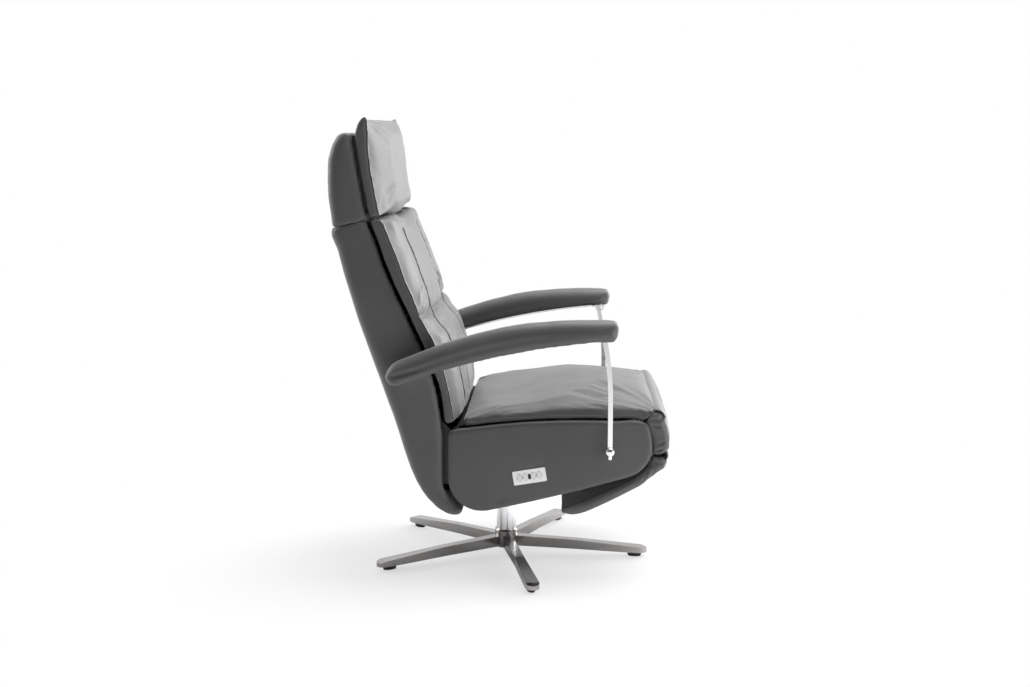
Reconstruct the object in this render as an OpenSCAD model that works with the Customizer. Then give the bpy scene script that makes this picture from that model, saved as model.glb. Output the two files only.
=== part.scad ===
// Swivel recliner: a padded chair on a polished five-arm star base.
// The back, the leg rest, the headrest and the armrests move.
// Millimetres. X points to the front, Y to the sitter's left, Z up; the origin is on the floor at the swivel
// axis.

/* [Star base] */
// Radius of the circle through the tips of the five arms
star_r = 360; // [320:5:400]
// Turn of the first arm from straight ahead, in degrees
star_turn = -5.45; // [-36:0.05:36]
// Width of an arm at the hub
star_root_w = 27; // [22:1:30]
// Width of an arm at its rounded tip
star_tip_w = 33; // [26:1:40]
// Height of the top of an arm at the hub
star_root_z = 46; // [40:1:50]
// Height of the top of an arm at its tip
star_tip_z = 25; // [22:1:30]
// Thickness of an arm at its tip
star_tip_t = 14; // [10:1:16]
// Thickness of an arm at the hub
star_root_t = 31; // [24:1:34]
// Radius of the hub
hub_r = 29; // [28:0.5:34]
// Height of the top of the hub
hub_top = 61; // [56:1:70]
// Thickness of a glide under an arm's tip
glide_t = 8; // [6:1:10]
// Length of a glide
glide_l = 44; // [30:1:60]

/* [Column] */
// Outer radius of the fixed column tube
column_r = 25; // [22:0.5:27]
// Radius of the spindle that turns in the column
spindle_r = 14; // [12:0.5:16]
// Height of the top of the swivel plate, where the seat frame sits
plate_top = 210; // [206:1:216]
// Thickness of the swivel plate
plate_t = 5; // [4:0.5:8]
// Thickness of the thrust bearing on top of the column
bearing_t = 7; // [5:0.5:10]

/* [Seat box] */
// Half of the width over the two side panels
seat_half = 290; // [270:1:320]
// Thickness of a side panel
panel_t = 18; // [14:1:22]
// Forward place of the axis that the back reclines about
pivot_x = -47; // [-55:1:-40]
// Height of the axis that the back reclines about
pivot_z = 260; // [255:1:270]
// Radius of the lower rear corner of a side panel, round the recline axis
corner_r = 79; // [74:1:84]
// Distance from the recline axis forward to the centre of the nose
seat_run = 328; // [310:1:350]
// Rise from the recline axis to the centre of the nose
nose_rise = 72; // [66:1:78]
// Radius of the nose of a side panel
nose_r = 68; // [64:1:72]
// Radius of the upper rear corner of a side panel
top_corner_r = 20; // [14:1:26]
// Rise from the recline axis to the centre of the upper rear corner
top_corner_rise = 98; // [92:1:104]
// Rounding of a side panel's outer edge
panel_edge_r = 7; // [4:1:10]
// Thickness of the seat frame's side boards
rail_t = 18; // [14:1:20]
// Thickness of a recline bracket
bracket_t = 6; // [4:0.5:8]

/* [Seat cushion] */
// Rise of the cushion's crown over its side edges
seat_crown = 30; // [20:1:45]
// Rounding of the cushion's side edges
seat_edge_r = 15; // [10:1:16]
// Gap between the side panels and the cushion above them
seat_gap = 2; // [1:0.5:4]

/* [Back] */
// Length that the outline of the back is drawn in
back_rise = 600; // [570:5:630]
// Half of the width of the upholstered shell
shell_half = 287; // [270:1:289]
// Thickness of the shell's padded walls
shell_wall = 14; // [10:1:18]
// Half of the width of the back cushion
cushion_half = 289; // [270:1:290]
// Running gap between the shell and the seat box
shell_gap = 4; // [3:0.5:6]
// Rounding of the shell's rear side edges
shell_edge_r = 30; // [20:1:34]
// Thickness of the back frame's side boards
board_t = 18; // [14:1:20]

/* [Headrest] */
// Length that the outline of the headrest is drawn in
head_rise = 230; // [210:2:250]
// Forward place of the headrest's axis
head_x = -262; // [-266:1:-258]
// Height of the headrest's axis
head_z = 874; // [872:1:876]
// Radius of a headrest hinge knuckle
head_knuckle_r = 7; // [6:0.5:8]

/* [Armrests] */
// Gap between an arm pad and the lug beside it
arm_gap = 4; // [1:1:13]
// Width of an arm pad
arm_w = 60; // [50:1:60]
// Forward place of an arm pad's rear end
arm_back_x = -264; // [-275:1:-255]
// Forward place of an arm pad's front end
arm_front_x = 268; // [260:1:280]
// Height of the crest of an arm pad
arm_top_z = 644; // [638:1:650]
// Radius of the arc of an arm pad's top
arm_top_r = 1125; // [1050:5:1200]
// Forward place of the crest of an arm pad's top
arm_crest_x = 199; // [180:1:220]
// Radius of the arc of the rail under a pad
rail_arc_r = 1793; // [1700:5:1900]
// Forward place of the crest of the rail's arc
rail_crest_x = 377; // [360:1:390]
// Height of the crest of the rail's arc
rail_crest_z = 603; // [600:1:606]
// Thickness of an arm rail
arm_rail_t = 4; // [3:0.5:6]
// Width of an arm rail
arm_rail_w = 40; // [30:1:44]
// Forward place of the bolt that an armrest turns on, on the back
arm_bolt_x = -234; // [-238:1:-230]
// Height of the bolt that an armrest turns on
arm_bolt_z = 520; // [516:1:524]

/* [Arm struts] */
// Forward place of a strut's lower bolt
strut_foot_x = 253.8; // [248:0.2:258]
// Height of a strut's lower bolt
strut_foot_z = 331.8; // [326:0.2:336]
// Rise from the lower bolt to the upper pin
strut_rise = 262.2; // [258:0.2:266]
// Length of a strut's straight lower part
strut_straight = 118; // [100:1:130]
// Radius of the bend of a strut's upper part
strut_bend_r = 700; // [550:5:850]
// Width of a strut
strut_w = 11; // [8:0.5:12]
// Thickness of a strut
strut_t = 6; // [4:0.5:7]

/* [Leg rest] */
// Forward place of the calf pad's hinge
calf_x = 366; // [364:0.5:368]
// Height of the calf pad's hinge
calf_z = 420; // [418:0.5:422]
// Forward place of the foot pad's hinge
foot_x = 378; // [376:0.5:380]
// Height of the foot pad's hinge
foot_z = 317; // [315:0.5:319]
// Half of the width of the leg rest's pads
leg_half = 284; // [270:1:288]
// Crown of the leg rest's pads
leg_crown = 10; // [4:1:12]
// Radius of a leg rest hinge knuckle
knuckle_r = 3.5; // [3:0.1:4]
// Radius of a leg rest hinge pin
hinge_pin_r = 1.8; // [1.5:0.1:2]
// Thickness of a leg rest hinge leaf
leaf_t = 1.2; // [0.8:0.1:1.3]
// Thickness of the boards inside the leg rest's pads
leg_board_t = 8; // [6:0.5:9]
// Length of the lever that lifts the leg rest
leg_lever_l = 95; // [90:0.5:98]

/* [Keypad] */
// Length of the keypad's plate
key_l = 78; // [70:1:90]
// Height of the keypad's plate
key_h = 33; // [30:1:38]
// Forward place of the keypad's centre
key_x = 66.5; // [50:0.5:90]
// Height of the keypad's centre
key_z = 268.5; // [262:0.5:285]
// Tilt of the keypad, up to the front, in degrees
key_tilt = 9.3; // [0:0.1:15]
// Thickness of the keypad's plate
key_t = 3; // [2:0.5:5]
// Width of a button
button_w = 11; // [9:0.5:12]
// Height of a button
button_h = 18; // [15:0.5:20]
// Distance between the centres of two neighbouring buttons
button_pitch = 14; // [13:0.5:15]
// Travel of a button
button_travel = 1; // [0.5:0.1:1.5]

/* [Drives] */
// Length of the lever that turns the recline shaft
lever_l = 60; // [52:1:62]
// Radius of the recline shaft
shaft_r = 8; // [7:0.5:9]
// Radius of the drives' inner tubes
rod_r = 9; // [7:0.5:10]
// Radius of the drives' outer tubes
drive_r = 16; // [14:0.5:17]
// Radius of the drives' motors
motor_r = 23; // [20:0.5:25]
// Length of a drive's outer tube
drive_l = 165; // [150:1:170]
// Side offset of the drives from the middle
drive_y = 84; // [75:1:100]

/* [Hidden] */

$fn = 48;
// How far a cut runs past the surface that it opens
over = 1;
// Gap between a soft piece and what it rests on, and between pieces that move
rest_gap = 0.3;
// Radial clearance of a turning pin or shaft
turn_gap = 0.06;

leather = [0.29, 0.28, 0.29];
chrome = [0.86, 0.87, 0.88];
steel = [0.6, 0.61, 0.63];
wood = [0.78, 0.66, 0.48];
black = [0.1, 0.1, 0.11];
silver = [0.82, 0.83, 0.84];

// Value at a share of the way between two numbers or points
function mix(a, b, k) = a + (b - a) * k;
// Points along an arc in a plane
function arc(c, r, a0, a1, n) = [for (k = [0 : n]) let (a = mix(a0, a1, k / n)) [c[0] + r * cos(a),
    c[1] + r * sin(a)]];
// A table of shares, placed from an origin and a length
function placed(shares, origin, len) = [for (p = shares) origin + p * len];
function reversed(list) = [for (i = [len(list) - 1 : -1 : 0]) list[i]];

// Profiles are drawn in the XZ plane; this module gives them a thickness along Y, from y0 to y1
module slab(outline, y0, y1)
    translate([0, y1, 0]) rotate([90, 0, 0]) linear_extrude(y1 - y0) polygon(outline);

// A round bar along Y, from y0 to y1, at a place in the XZ plane
module rod_y(p, r, y0, y1)
    translate([p[0], y1, p[1]]) rotate([90, 0, 0]) cylinder(r = r, h = y1 - y0);

// A round bar along X, from x0 to x1
module rod_x(y, z, r, x0, x1)
    translate([x0, y, z]) rotate([0, 90, 0]) cylinder(r = r, h = x1 - x0);

// A box between two corners
module block(low, high)
    translate(low) cube(high - low);

// The same piece on both sides
module both_sides() {
    children();
    mirror([0, 1, 0]) children();
}

// Closed surface through a list of rings, each with the same number of points
function walls(n, m) = [for (i = [0 : m - 2]) for (j = [0 : n - 1]) let (k = (j + 1) % n)
    each [[i * n + j, (i + 1) * n + j, (i + 1) * n + k], [i * n + j, (i + 1) * n + k, i * n + k]]];
module loft(rings) {
    n = len(rings[0]);
    m = len(rings);
    middles = [for (ring = [rings[0], rings[m - 1]]) [for (axis = [0 : 2]) mean([for (p = ring) p[axis]])]];
    ends = [for (j = [0 : n - 1]) let (k = (j + 1) % n)
        each [[m * n, j, k], [m * n + 1, (m - 1) * n + k, (m - 1) * n + j]]];
    polyhedron(points = concat([for (ring = rings) each ring], middles), faces = concat(walls(n, m), ends));
}
// The same for rings that go down one side and come back up the other: the ends are ladders between the sides
module ladder_loft(rings) {
    n = len(rings[0]);
    m = len(rings);
    last = (m - 1) * n;
    ends = [for (j = [0 : n / 2 - 2]) let (a = j, b = j + 1, c = n - 2 - j, d = n - 1 - j)
        each [[a, b, c], [a, c, d], [last + c, last + b, last + a], [last + d, last + c, last + a]]];
    polyhedron(points = [for (ring = rings) each ring], faces = concat(walls(n, m), ends));
}
function mean(list) = sum(list, len(list) - 1) / len(list);
function sum(list, i) = i < 0 ? 0 : list[i] + sum(list, i - 1);

// A padded form is a list of rows along its length. Each row has an inner point and an outer point in the
// XZ plane, the rise of its crown and its share of the full width. Rings across the width round off the
// sides.
function inner(row) = row[0];
function outer(row) = row[1];
function pad_ring(rows, y, inset, crown) = concat(
    [for (r = rows) let (t = norm(r[1] - r[0]), d = (r[1] - r[0]) / t, k = min(inset / t, 0.46),
        p = mix(r[1], r[0], k) + d * r[2] * crown) [p[0], y * r[3], p[1]]],
    [for (r = reversed(rows)) let (t = norm(r[1] - r[0]), k = min(inset / t, 0.46),
        p = mix(r[0], r[1], k)) [p[0], y * r[3], p[1]]]);
edge_steps = 5;
function edge_stations(half, edge, side) = [for (k = [0 : edge_steps]) let (a = 90 * k / edge_steps)
    [side * (half - edge + edge * cos(a)), edge * (1 - sin(a))]];
function pad_stations(half, edge, shares) = concat(edge_stations(half, edge, -1),
    [for (u = shares) [u * (half - edge), 0]],
    reversed(edge_stations(half, edge, 1)));
pad_shares = [-0.86, -0.72, -0.6, -0.55, -0.5, -0.38, -0.2, 0, 0.2, 0.38, 0.5, 0.55, 0.6, 0.72, 0.86];
plain_shares = [-0.85, -0.45, 0, 0.45, 0.85];
module padded(rows, half, edge, shares, swell)
    ladder_loft([for (s = pad_stations(half, edge, shares)) pad_ring(rows, s[0], s[1], swell(s[0] / half))]);
// The same form from a depth below its inner side, and the closed outline of a layer between two depths
function deep(row, d) = row[0] + (row[1] - row[0]) * d / norm(row[1] - row[0]);
function from_depth(rows, d) = [for (r = rows) [deep(r, d), r[1], r[2], r[3]]];
function between(rows, d0, d1) = concat([for (r = rows) deep(r, d1)], reversed([for (r = rows) deep(r, d0)]));
function band(rows, k0, k1) = concat([for (r = rows) mix(r[0], r[1], k1)],
    reversed([for (r = rows) mix(r[0], r[1], k0)]));
function part_of(rows, i0, i1) = [for (i = [i0 : i1]) rows[i]];

// Swell of a crowned cushion across its width
function crowned(u) = sqrt(max(0, 1 - pow(abs(u), 4)));
// The same with two sewn channels that run along the cushion
channel_share = 0.53;
channel_w_share = 0.07;
channel_depth_share = 0.4;
function channelled(u) = crowned(u) * (1 - channel_depth_share * max(0,
    1 - abs(abs(u) - channel_share) / channel_w_share));

// Places along the width, from the outer face of a side panel inwards
panel_in = seat_half - panel_t;
bracket_out = panel_in - 8 * over;
bracket_in = bracket_out - bracket_t;
rail_out = bracket_in - 4 * over;
rail_in = rail_out - rail_t;

// Outline of the seat box in the XZ plane, which its parts follow at their own inset
pivot = [pivot_x, pivot_z];
nose = pivot + [seat_run, nose_rise];
top_corner = pivot + [top_corner_r - corner_r, top_corner_rise];
under_angle = atan2(nose_rise, seat_run) + asin((corner_r - nose_r) / norm(nose - pivot));
top_angle = atan2(nose[1] - top_corner[1],
    nose[0] - top_corner[0]) + asin((nose_r - top_corner_r) / norm(nose - top_corner));
top_bow = 10;
under_bow = 4;
// Straight run between two round corners, bowed outwards
function bowed(a, b, bow, n) = let (d = b - a, out = [d[1], -d[0]] / norm(d))
    [for (k = [1 : n - 1]) a + d * k / n + out * bow * sin(180 * k / n)];
function rear_arc(inset) = arc(pivot, corner_r - inset, 180, 270 + under_angle, 10);
function nose_arc(inset) = arc(nose, nose_r - inset, under_angle - 90, 90 + top_angle, 14);
function top_arc(inset) = arc(top_corner, max(top_corner_r - inset, top_corner_r / 4), 90 + top_angle, 180,
    5);
function underside(inset) = let (a = rear_arc(inset), b = nose_arc(inset))
    concat(a, bowed(a[len(a) - 1], b[0], under_bow, 6), b);
function topside(inset) = let (a = nose_arc(inset), b = top_arc(inset))
    concat(bowed(a[len(a) - 1], b[0], top_bow, 8), b);
function box_outline(inset) = concat(underside(inset), topside(inset));
// Height of the top of the seat box at a place along X
top_a = nose + nose_r * [cos(90 + top_angle), sin(90 + top_angle)];
top_b = top_corner + top_corner_r * [cos(90 + top_angle), sin(90 + top_angle)];
function top_z(x) =
    x > top_a[0] ? nose[1] + sqrt(max(0, pow(nose_r, 2) - pow(x - nose[0], 2))) :
    x > top_b[0] ? let (k = (top_a[0] - x) / (top_a[0] - top_b[0])) mix(top_a[1], top_b[1],
        k) + top_bow * sin(180 * k) :
    top_corner[1] + sqrt(max(0, pow(top_corner_r, 2) - pow(x - top_corner[0], 2)));

// Star base
star_count = 5;
star_rest = glide_t;
star_foot_z = star_tip_z - star_tip_t;
star_hub_z = star_root_z - star_root_t;
tip_centre = star_r - star_tip_w / 2;

module star_arm() {
    intersection() {
        slab([
            [0, star_hub_z + 3 * over], [hub_r, star_hub_z + 3 * over], [tip_centre - glide_l, star_foot_z],
                [star_r, star_foot_z],
            [star_r, star_tip_z - star_tip_t / 3], [tip_centre, star_tip_z],
                [star_r / 2, mix(star_root_z, star_tip_z, 0.38)],
            [2.5 * hub_r, mix(star_root_z, star_tip_z, 0.18)], [0, star_root_z]
        ], -star_tip_w, star_tip_w);
        union() {
            linear_extrude(star_root_z) polygon([
                [0, -star_root_w / 2], [star_r / 2, -star_root_w * 0.42], [tip_centre, -star_tip_w / 2],
                [tip_centre, star_tip_w / 2], [star_r / 2, star_root_w * 0.42], [0, star_root_w / 2]
            ]);
            translate([tip_centre, 0, 0]) cylinder(r = star_tip_w / 2, h = star_root_z);
        }
    }
}

module star_base() {
    color(chrome) difference() {
        union() {
            translate([0, 0, star_hub_z]) rotate_extrude($fn = 72) polygon([
                [0, 0], [hub_r - over, 0], [hub_r, over], [hub_r, hub_top - star_hub_z - 4 * over],
                [hub_r - over, hub_top - star_hub_z - 3 * over], [hub_r, hub_top - star_hub_z - 2 * over],
                [hub_r - over, hub_top - star_hub_z], [0, hub_top - star_hub_z]
            ]);
            for (i = [0 : star_count - 1]) rotate([0, 0, star_turn + i * 360 / star_count]) star_arm();
        }
        translate([0, 0, star_hub_z + 5 * over]) cylinder(r = column_r, h = hub_top, $fn = 72);
    }
}

module glides() {
    color(black) for (i = [0 : star_count - 1]) rotate([0, 0, star_turn + i * 360 / star_count])
        translate([tip_centre - glide_l / 3, 0, 0]) intersection() {
            union() {
                translate([glide_l / 3, 0, 0]) cylinder(r = star_tip_w / 2 - over, h = star_foot_z);
                block([-glide_l / 3 * 2, -star_tip_w / 2 + 3 * over, 0],
                    [glide_l / 3, star_tip_w / 2 - 3 * over, star_foot_z]);
            }
            slab([
                [-glide_l, 0], [glide_l, 0], [glide_l, star_foot_z], [-glide_l / 3, star_foot_z],
                    [-glide_l, star_foot_z]
            ], -star_tip_w, star_tip_w);
        }
}

// Column, spindle and swivel plate
bearing_top = plate_top - plate_t;
column_top = bearing_top - bearing_t;
column_foot = star_hub_z + 5 * over;
spindle_foot = hub_top + 10 * over;

module column_tube() {
    color(chrome) difference() {
        translate([0, 0, column_foot]) cylinder(r = column_r, h = column_top - column_foot, $fn = 72);
        translate([0, 0, spindle_foot - 5 * over]) cylinder(r = spindle_r + turn_gap, h = column_top,
            $fn = 72);
    }
}

module thrust_bearing() {
    color(steel) translate([0, 0, column_top]) difference() {
        rotate_extrude($fn = 72) polygon([
            [spindle_r + over, 0], [column_r - over, 0], [column_r - over, bearing_t / 3],
                [column_r - 2 * over, bearing_t / 2],
            [column_r - over, bearing_t * 2 / 3], [column_r - over, bearing_t - rest_gap / 3],
                [spindle_r + over, bearing_t - rest_gap / 3]
        ]);
    }
}

module swivel_spindle() {
    color(steel) translate([0, 0, spindle_foot]) cylinder(r = spindle_r, h = bearing_top - spindle_foot,
        $fn = 72);
}

plate_l_share = 0.48;
plate_back_share = 0.14;
plate_x0 = -seat_run * plate_back_share;
plate_x1 = plate_x0 + seat_run * plate_l_share;
plate_half = rail_in / 3;
plate_hole_r = 4.5;
beam_w = 30;
beam_h = 25;
beam_x = [plate_x0 + beam_w, plate_x1 - beam_w / 2 - plate_hole_r];

module swivel_plate() {
    color(steel) difference() {
        translate([0, 0, bearing_top]) linear_extrude(plate_t) difference() {
            polygon([
                [plate_x0, -plate_half * 0.7], [plate_x0 + plate_half * 0.3, -plate_half],
                    [plate_x1, -plate_half],
                [plate_x1, plate_half], [plate_x0 + plate_half * 0.3, plate_half],
                    [plate_x0, plate_half * 0.7]
            ]);
            for (x = beam_x) for (side = [-1, 1]) translate([x,
                side * plate_half * 0.8]) circle(r = plate_hole_r);
        }
    }
}

module swivel_beams() {
    color(steel) for (x = beam_x) difference() {
        block([x - beam_w / 2, -rail_in, plate_top], [x + beam_w / 2, rail_in, plate_top + beam_h]);
        block([x - beam_w / 2 + 3 * over, -rail_in - over, plate_top + 3 * over],
            [x + beam_w / 2 - 3 * over, rail_in + over, plate_top + beam_h + over]);
    }
}

// Seat frame
frame_inset = 3;
shaft_hole_r = shaft_r + turn_gap;

module seat_rail() {
    difference() {
        union() {
            slab(box_outline(frame_inset), rail_in, rail_out);
            for (p = spacer_places) rod_y(p, spacer_r, rail_out - over, panel_in);
        }
        rod_y(pivot, shaft_hole_r, rail_in - over, rail_out + over);
    }
}
spacer_r = 10;
spacer_places = [
    nose,
    [mix(pivot_x, nose[0], 0.45), mix(pivot_z, nose[1], 0.45)],
    [mix(pivot_x, nose[0], 0.6), nose[1] + nose_r / 2]
];

module seat_rail_left() { color(wood) seat_rail(); }
module seat_rail_right() { color(wood) mirror([0, 1, 0]) seat_rail(); }

// The springs lie on two cross rails, along a straight line under the deck
spring_wire = 3.5;
spring_drop = 13;
rear_rail_x = pivot_x - corner_r + top_corner_r + spring_wire;
front_rail_x = nose[0] - nose_r / 3;
cross_t = 18;
function spring_z(x) = mix(top_b[1], top_a[1], (x - top_b[0]) / (top_a[0] - top_b[0])) - spring_drop;

module cross_rail(x, drop)
    slab([
        [x - cross_t / 2, spring_z(x) - drop], [x + cross_t / 2, spring_z(x) - drop],
        [x + cross_t / 2, spring_z(x + cross_t / 2)], [x - cross_t / 2, spring_z(x - cross_t / 2)]
    ], -rail_in, rail_in);

module seat_cross_rails() {
    color(wood) {
        cross_rail(rear_rail_x, corner_r * 0.6);
        difference() {
            cross_rail(front_rail_x, nose_r * 1.4);
            rod_x(-drive_y, leg_drive_z, drive_r + 2 * over, front_rail_x - cross_t, front_rail_x + cross_t);
        }
    }
}

module nose_board() {
    color(wood) difference() {
        slab(concat(arc(nose, nose_r - frame_inset, -30, 84, 14),
            arc(nose, nose_r - frame_inset - board_t / 2, 84, -30, 14)),
            -rail_in, rail_in);
        block([nose[0], yoke_y - 1.4 * rod_r, nose[1] - nose_r * 0.36],
            [nose[0] + nose_r, yoke_y + 1.4 * rod_r, nose[1] + nose_r * 0.84]);
    }
}

// Zigzag wire springs, laid along the seat
spring_count = 5;
spring_turns = 9;
spring_w = 46;
module zigzag(length, width, turns, wire) {
    pitch = length / turns;
    points = [for (i = [0 : turns]) [i * pitch, (i % 2 == 0 ? -1 : 1) * width / 2]];
    for (i = [0 : turns - 1]) let (d = points[i + 1] - points[i])
        translate(points[i]) rotate(atan2(d[1], d[0])) translate([-wire / 2,
            -wire / 2]) square([norm(d) + wire, wire]);
}

module seat_springs() {
    x0 = rear_rail_x - cross_t / 4;
    x1 = front_rail_x + cross_t / 4;
    slope = atan2(spring_z(x1) - spring_z(x0), x1 - x0);
    color(steel) for (i = [0 : spring_count - 1])
        translate([x0, (i - (spring_count - 1) / 2) * 2 * rail_in / (spring_count + 0.4),
            spring_z(x0)]) rotate([0, -slope, 0])
            linear_extrude(spring_wire) zigzag((x1 - x0) / cos(slope), spring_w, spring_turns, spring_wire);
}

deck_low = 2.5;
module seat_deck() {
    deck_xs = concat([top_corner[0] + top_corner_r / 4], [for (i = [0 : 9]) seat_rows[i][0][0]]);
    low_xs = [for (k = [0 : 40]) mix(deck_xs[0], deck_xs[10], k / 40)];
    color(black) slab(concat(
        [for (x = low_xs) [x, top_z(x) - deck_low]],
        reversed([for (x = deck_xs) [x, top_z(x) + seat_gap - rest_gap]])), -rail_out, rail_out);
}

cover_t = 2;
module bottom_cover() {
    outside = underside(frame_inset - rest_gap / 2 - cover_t);
    inside = underside(frame_inset - rest_gap / 2);
    color(black) difference() {
        slab(concat(part_of(outside, 2, 19), reversed(part_of(inside, 2, 19))), -rail_out, rail_out);
        translate([0, 0, pivot_z - 2 * corner_r]) cylinder(r = column_r + 5 * over, h = 2 * corner_r);
        block([0, -plate_half - over, bearing_top - corner_r],
            [plate_x1 + over, plate_half + over, plate_top + beam_h]);
        block([beam_x[1] - beam_w / 2 - over, -rail_out - over, plate_top - over],
            [beam_x[1] + beam_w / 2 + over, rail_out + over, plate_top + beam_h]);
    }
}

// Side panels, with a rounded outer edge
panel_middle = (pivot + nose) / 2 + [0, top_corner_rise / 6];
module side_panel(side) {
    outline = box_outline(0);
    function ring(y, inset) = [for (p = outline) let (d = panel_middle - p) [p[0] + d[0] / norm(d) * inset,
        side * y, p[1] + d[1] / norm(d) * inset]];
    rings = concat(
        [ring(panel_in, 0)],
        [for (k = [0 : 4]) let (a = 90 * k / 4) ring(seat_half - panel_edge_r * (1 - sin(a)),
            panel_edge_r * (1 - cos(a)))]);
    loft(side > 0 ? rings : reversed(rings));
}

module side_panel_left() { color(leather) side_panel(1); }
module side_panel_right() {
    color(leather) difference() {
        side_panel(-1);
        on_keypad() block([-key_l / 2 + 5 * over, -over, -key_h / 2 + 4 * over],
            [key_l / 2 - 5 * over, panel_t + over, key_h / 2 - 4 * over]);
    }
}

// Seat cushion: inner points follow the seat box, outer points are shares of the seat's run
seat_rows_shares = [
    [-0.113, [-0.113, 0.4], 0.02], [-0.1, [-0.1, 0.45], 0.04], [-0.055, [-0.055, 0.478], 0.05],
        [0.082, [0.082, 0.5], 0.06],
    [0.265, [0.265, 0.514], 0.12], [0.479, [0.479, 0.522], 0.55], [0.692, [0.692, 0.527], 0.85],
        [0.875, [0.875, 0.527], 0.97],
    [1.012, [1.012, 0.517], 1.04], [1.085, [1.113, 0.507], 0.95], [1.125, [1.185, 0.5], 0.6],
        [1.142, [1.222, 0.496], 0.25]
];
// The creases that the leg rest folds at: each is a thin gap from its hinge line inwards
crease_half = 1.5;
crease_end = knuckle_r + 2 * over;
calf_axis = [calf_x, calf_z];
calf_crease = (nose - calf_axis) / norm(nose - calf_axis);
foot_axis = [foot_x, foot_z];
foot_crease = [-1, 0];
function crease_point(axis, crease, reach, side) = axis + crease * reach + [-crease[1],
    crease[0]] * side * crease_half;
function crease_row(axis, crease, reach, side) = [crease_point(axis, crease, reach, side),
    crease_point(axis, crease, crease_end, side), 0, 1];
nose_reach = norm(nose - calf_axis) - nose_r;
seat_rows = concat(
    [for (r = seat_rows_shares) let (x = pivot_x + r[0] * seat_run) [[x, top_z(x) + seat_gap],
        pivot + r[1] * seat_run, r[2] * seat_crown, 1]],
    [crease_row(calf_axis, calf_crease, nose_reach - seat_gap, -1)]);

module seat_cushion() {
    color(leather) padded(seat_rows, leg_half, seat_edge_r, pad_shares, function(u) crowned(u));
}

// Back: each row of shares gives an inner point beside the cushion and an outer point at the rear
shell_shares = [
    [[-0.425, 1.008], [-0.575, 0.972]], [[-0.417, 0.983], [-0.573, 0.947]], [[-0.397, 0.938], [-0.55, 0.893]],
    [[-0.368, 0.848], [-0.528, 0.802]], [[-0.333, 0.762], [-0.503, 0.717]],
    [[-0.293, 0.675], [-0.477, 0.628]],
    [[-0.258, 0.598], [-0.45, 0.55]], [[-0.222, 0.52], [-0.423, 0.472]], [[-0.183, 0.423], [-0.387, 0.37]],
    [[-0.163, 0.358], [-0.365, 0.305]], [[-0.152, 0.297], [-0.343, 0.245]], [[-0.145, 0.233], [-0.322, 0.178]]
];
shell_reach = corner_r + shell_gap;
// Below the cushion the shell passes round the seat box: straight behind it, then on an arc about the
// recline axis
shell_low_shares = [[1.26, [-2.29, 0.82]], [0.63, [-2.11, 0.27]], [0, [-1.94, -0.14]]];
shell_arc_shares = [[192, [-1.76, -0.46]], [203, [-1.59, -0.69]], [216, [-1.32, -0.96]],
    [228, [-1.03, -1.13]], [236, [-0.8, -1.18]], [240, [-0.63, -1.14]]];
shell_rear_crown = 6;
shell_rows = [for (r = concat(
    [for (s = shell_shares) placed(s, pivot, back_rise)],
    [for (s = shell_low_shares) [pivot + [-shell_reach, s[0] * corner_r], pivot + s[1] * corner_r]],
    [for (s = shell_arc_shares) [pivot + shell_reach * [cos(s[0]), sin(s[0])],
        pivot + s[1] * corner_r]])) [r[0], r[1], shell_rear_crown, 1]];
function hollow(rows) = concat([for (r = rows) deep(r, norm(r[1] - r[0]) - shell_wall)],
    reversed([for (r = rows) deep(r, -5 * over)]));

module back_shell() {
    top = shell_rows[0];
    above = [top[0] + [0, shell_wall], top[1] + [0, shell_wall], 0, 1];
    color(leather) difference() {
        padded(shell_rows, shell_half, shell_edge_r, plain_shares, function(u) crowned(u));
        slab(hollow(concat([above], part_of(shell_rows, 1, 16))), shell_wall - shell_half - over / 2,
            shell_half - shell_wall + over / 2);
        both_sides() rod_y(arm_bolt, arm_bolt_r + over, shell_half - 2 * shell_wall, shell_half + over);
    }
}

// Frame inside the shell
board_rows = part_of(shell_rows, 1, 15);
module back_boards() {
    color(wood) both_sides() difference() {
        slab(band(board_rows, 0.1, 0.72), bracket_in - board_t, bracket_in);
        for (i = bar_rows) rod_y(bar_place(i), bar_r, bracket_in - board_t - over, bracket_in + over);
    }
}

bar_rows = [2, 6, 11, 14];
bar_r = 9;
function bar_place(i) = mix(shell_rows[i][0], shell_rows[i][1], 0.4);
module back_cross_bars() {
    half = shell_half - shell_wall;
    color(steel) for (i = bar_rows) rod_y(bar_place(i), bar_r, -half, half);
}

module back_springs() {
    low = bar_place(bar_rows[2]);
    high = bar_place(bar_rows[1]);
    d = high - low;
    front = [d[1], -d[0]] / norm(d) * bar_r;
    color(steel) for (i = [0 : 3])
        translate([low[0] + front[0], (i - 1.5) * 2 * rail_in / 4.6, low[1] + front[1]]) rotate([0,
            -atan2(d[1], d[0]), 0])
            mirror([0, 0, 1]) linear_extrude(spring_wire) zigzag(norm(d), spring_w, 7, spring_wire);
}

// Each row of the cushion: height of its inner point, its outer point, and its crown as a share
cushion_shares = [
    [1.008, [-0.375, 1.013], 0.11], [0.983, [-0.362, 0.985], 0.6], [0.938, [-0.35, 0.943], 0.8],
    [0.848, [-0.318, 0.86], 0.86], [0.762, [-0.29, 0.777], 0.89], [0.71, [-0.262, 0.715], 0.83],
    [0.675, [-0.248, 0.682], 0.66], [0.64, [-0.232, 0.643], 0.28], [0.615, [-0.222, 0.616], 0.66],
    [0.598, [-0.212, 0.592], 0.83], [0.56, [-0.19, 0.56], 0.94], [0.52, [-0.176, 0.517], 1],
    [0.423, [-0.144, 0.42], 1], [0.358, [-0.126, 0.352], 0.94], [0.297, [-0.114, 0.287], 0.89],
    [0.245, [-0.108, 0.242], 0.7], [0.233, [-0.107, 0.228], 0.48], [0.218, [-0.115, 0.215], 0.15]
];
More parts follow.
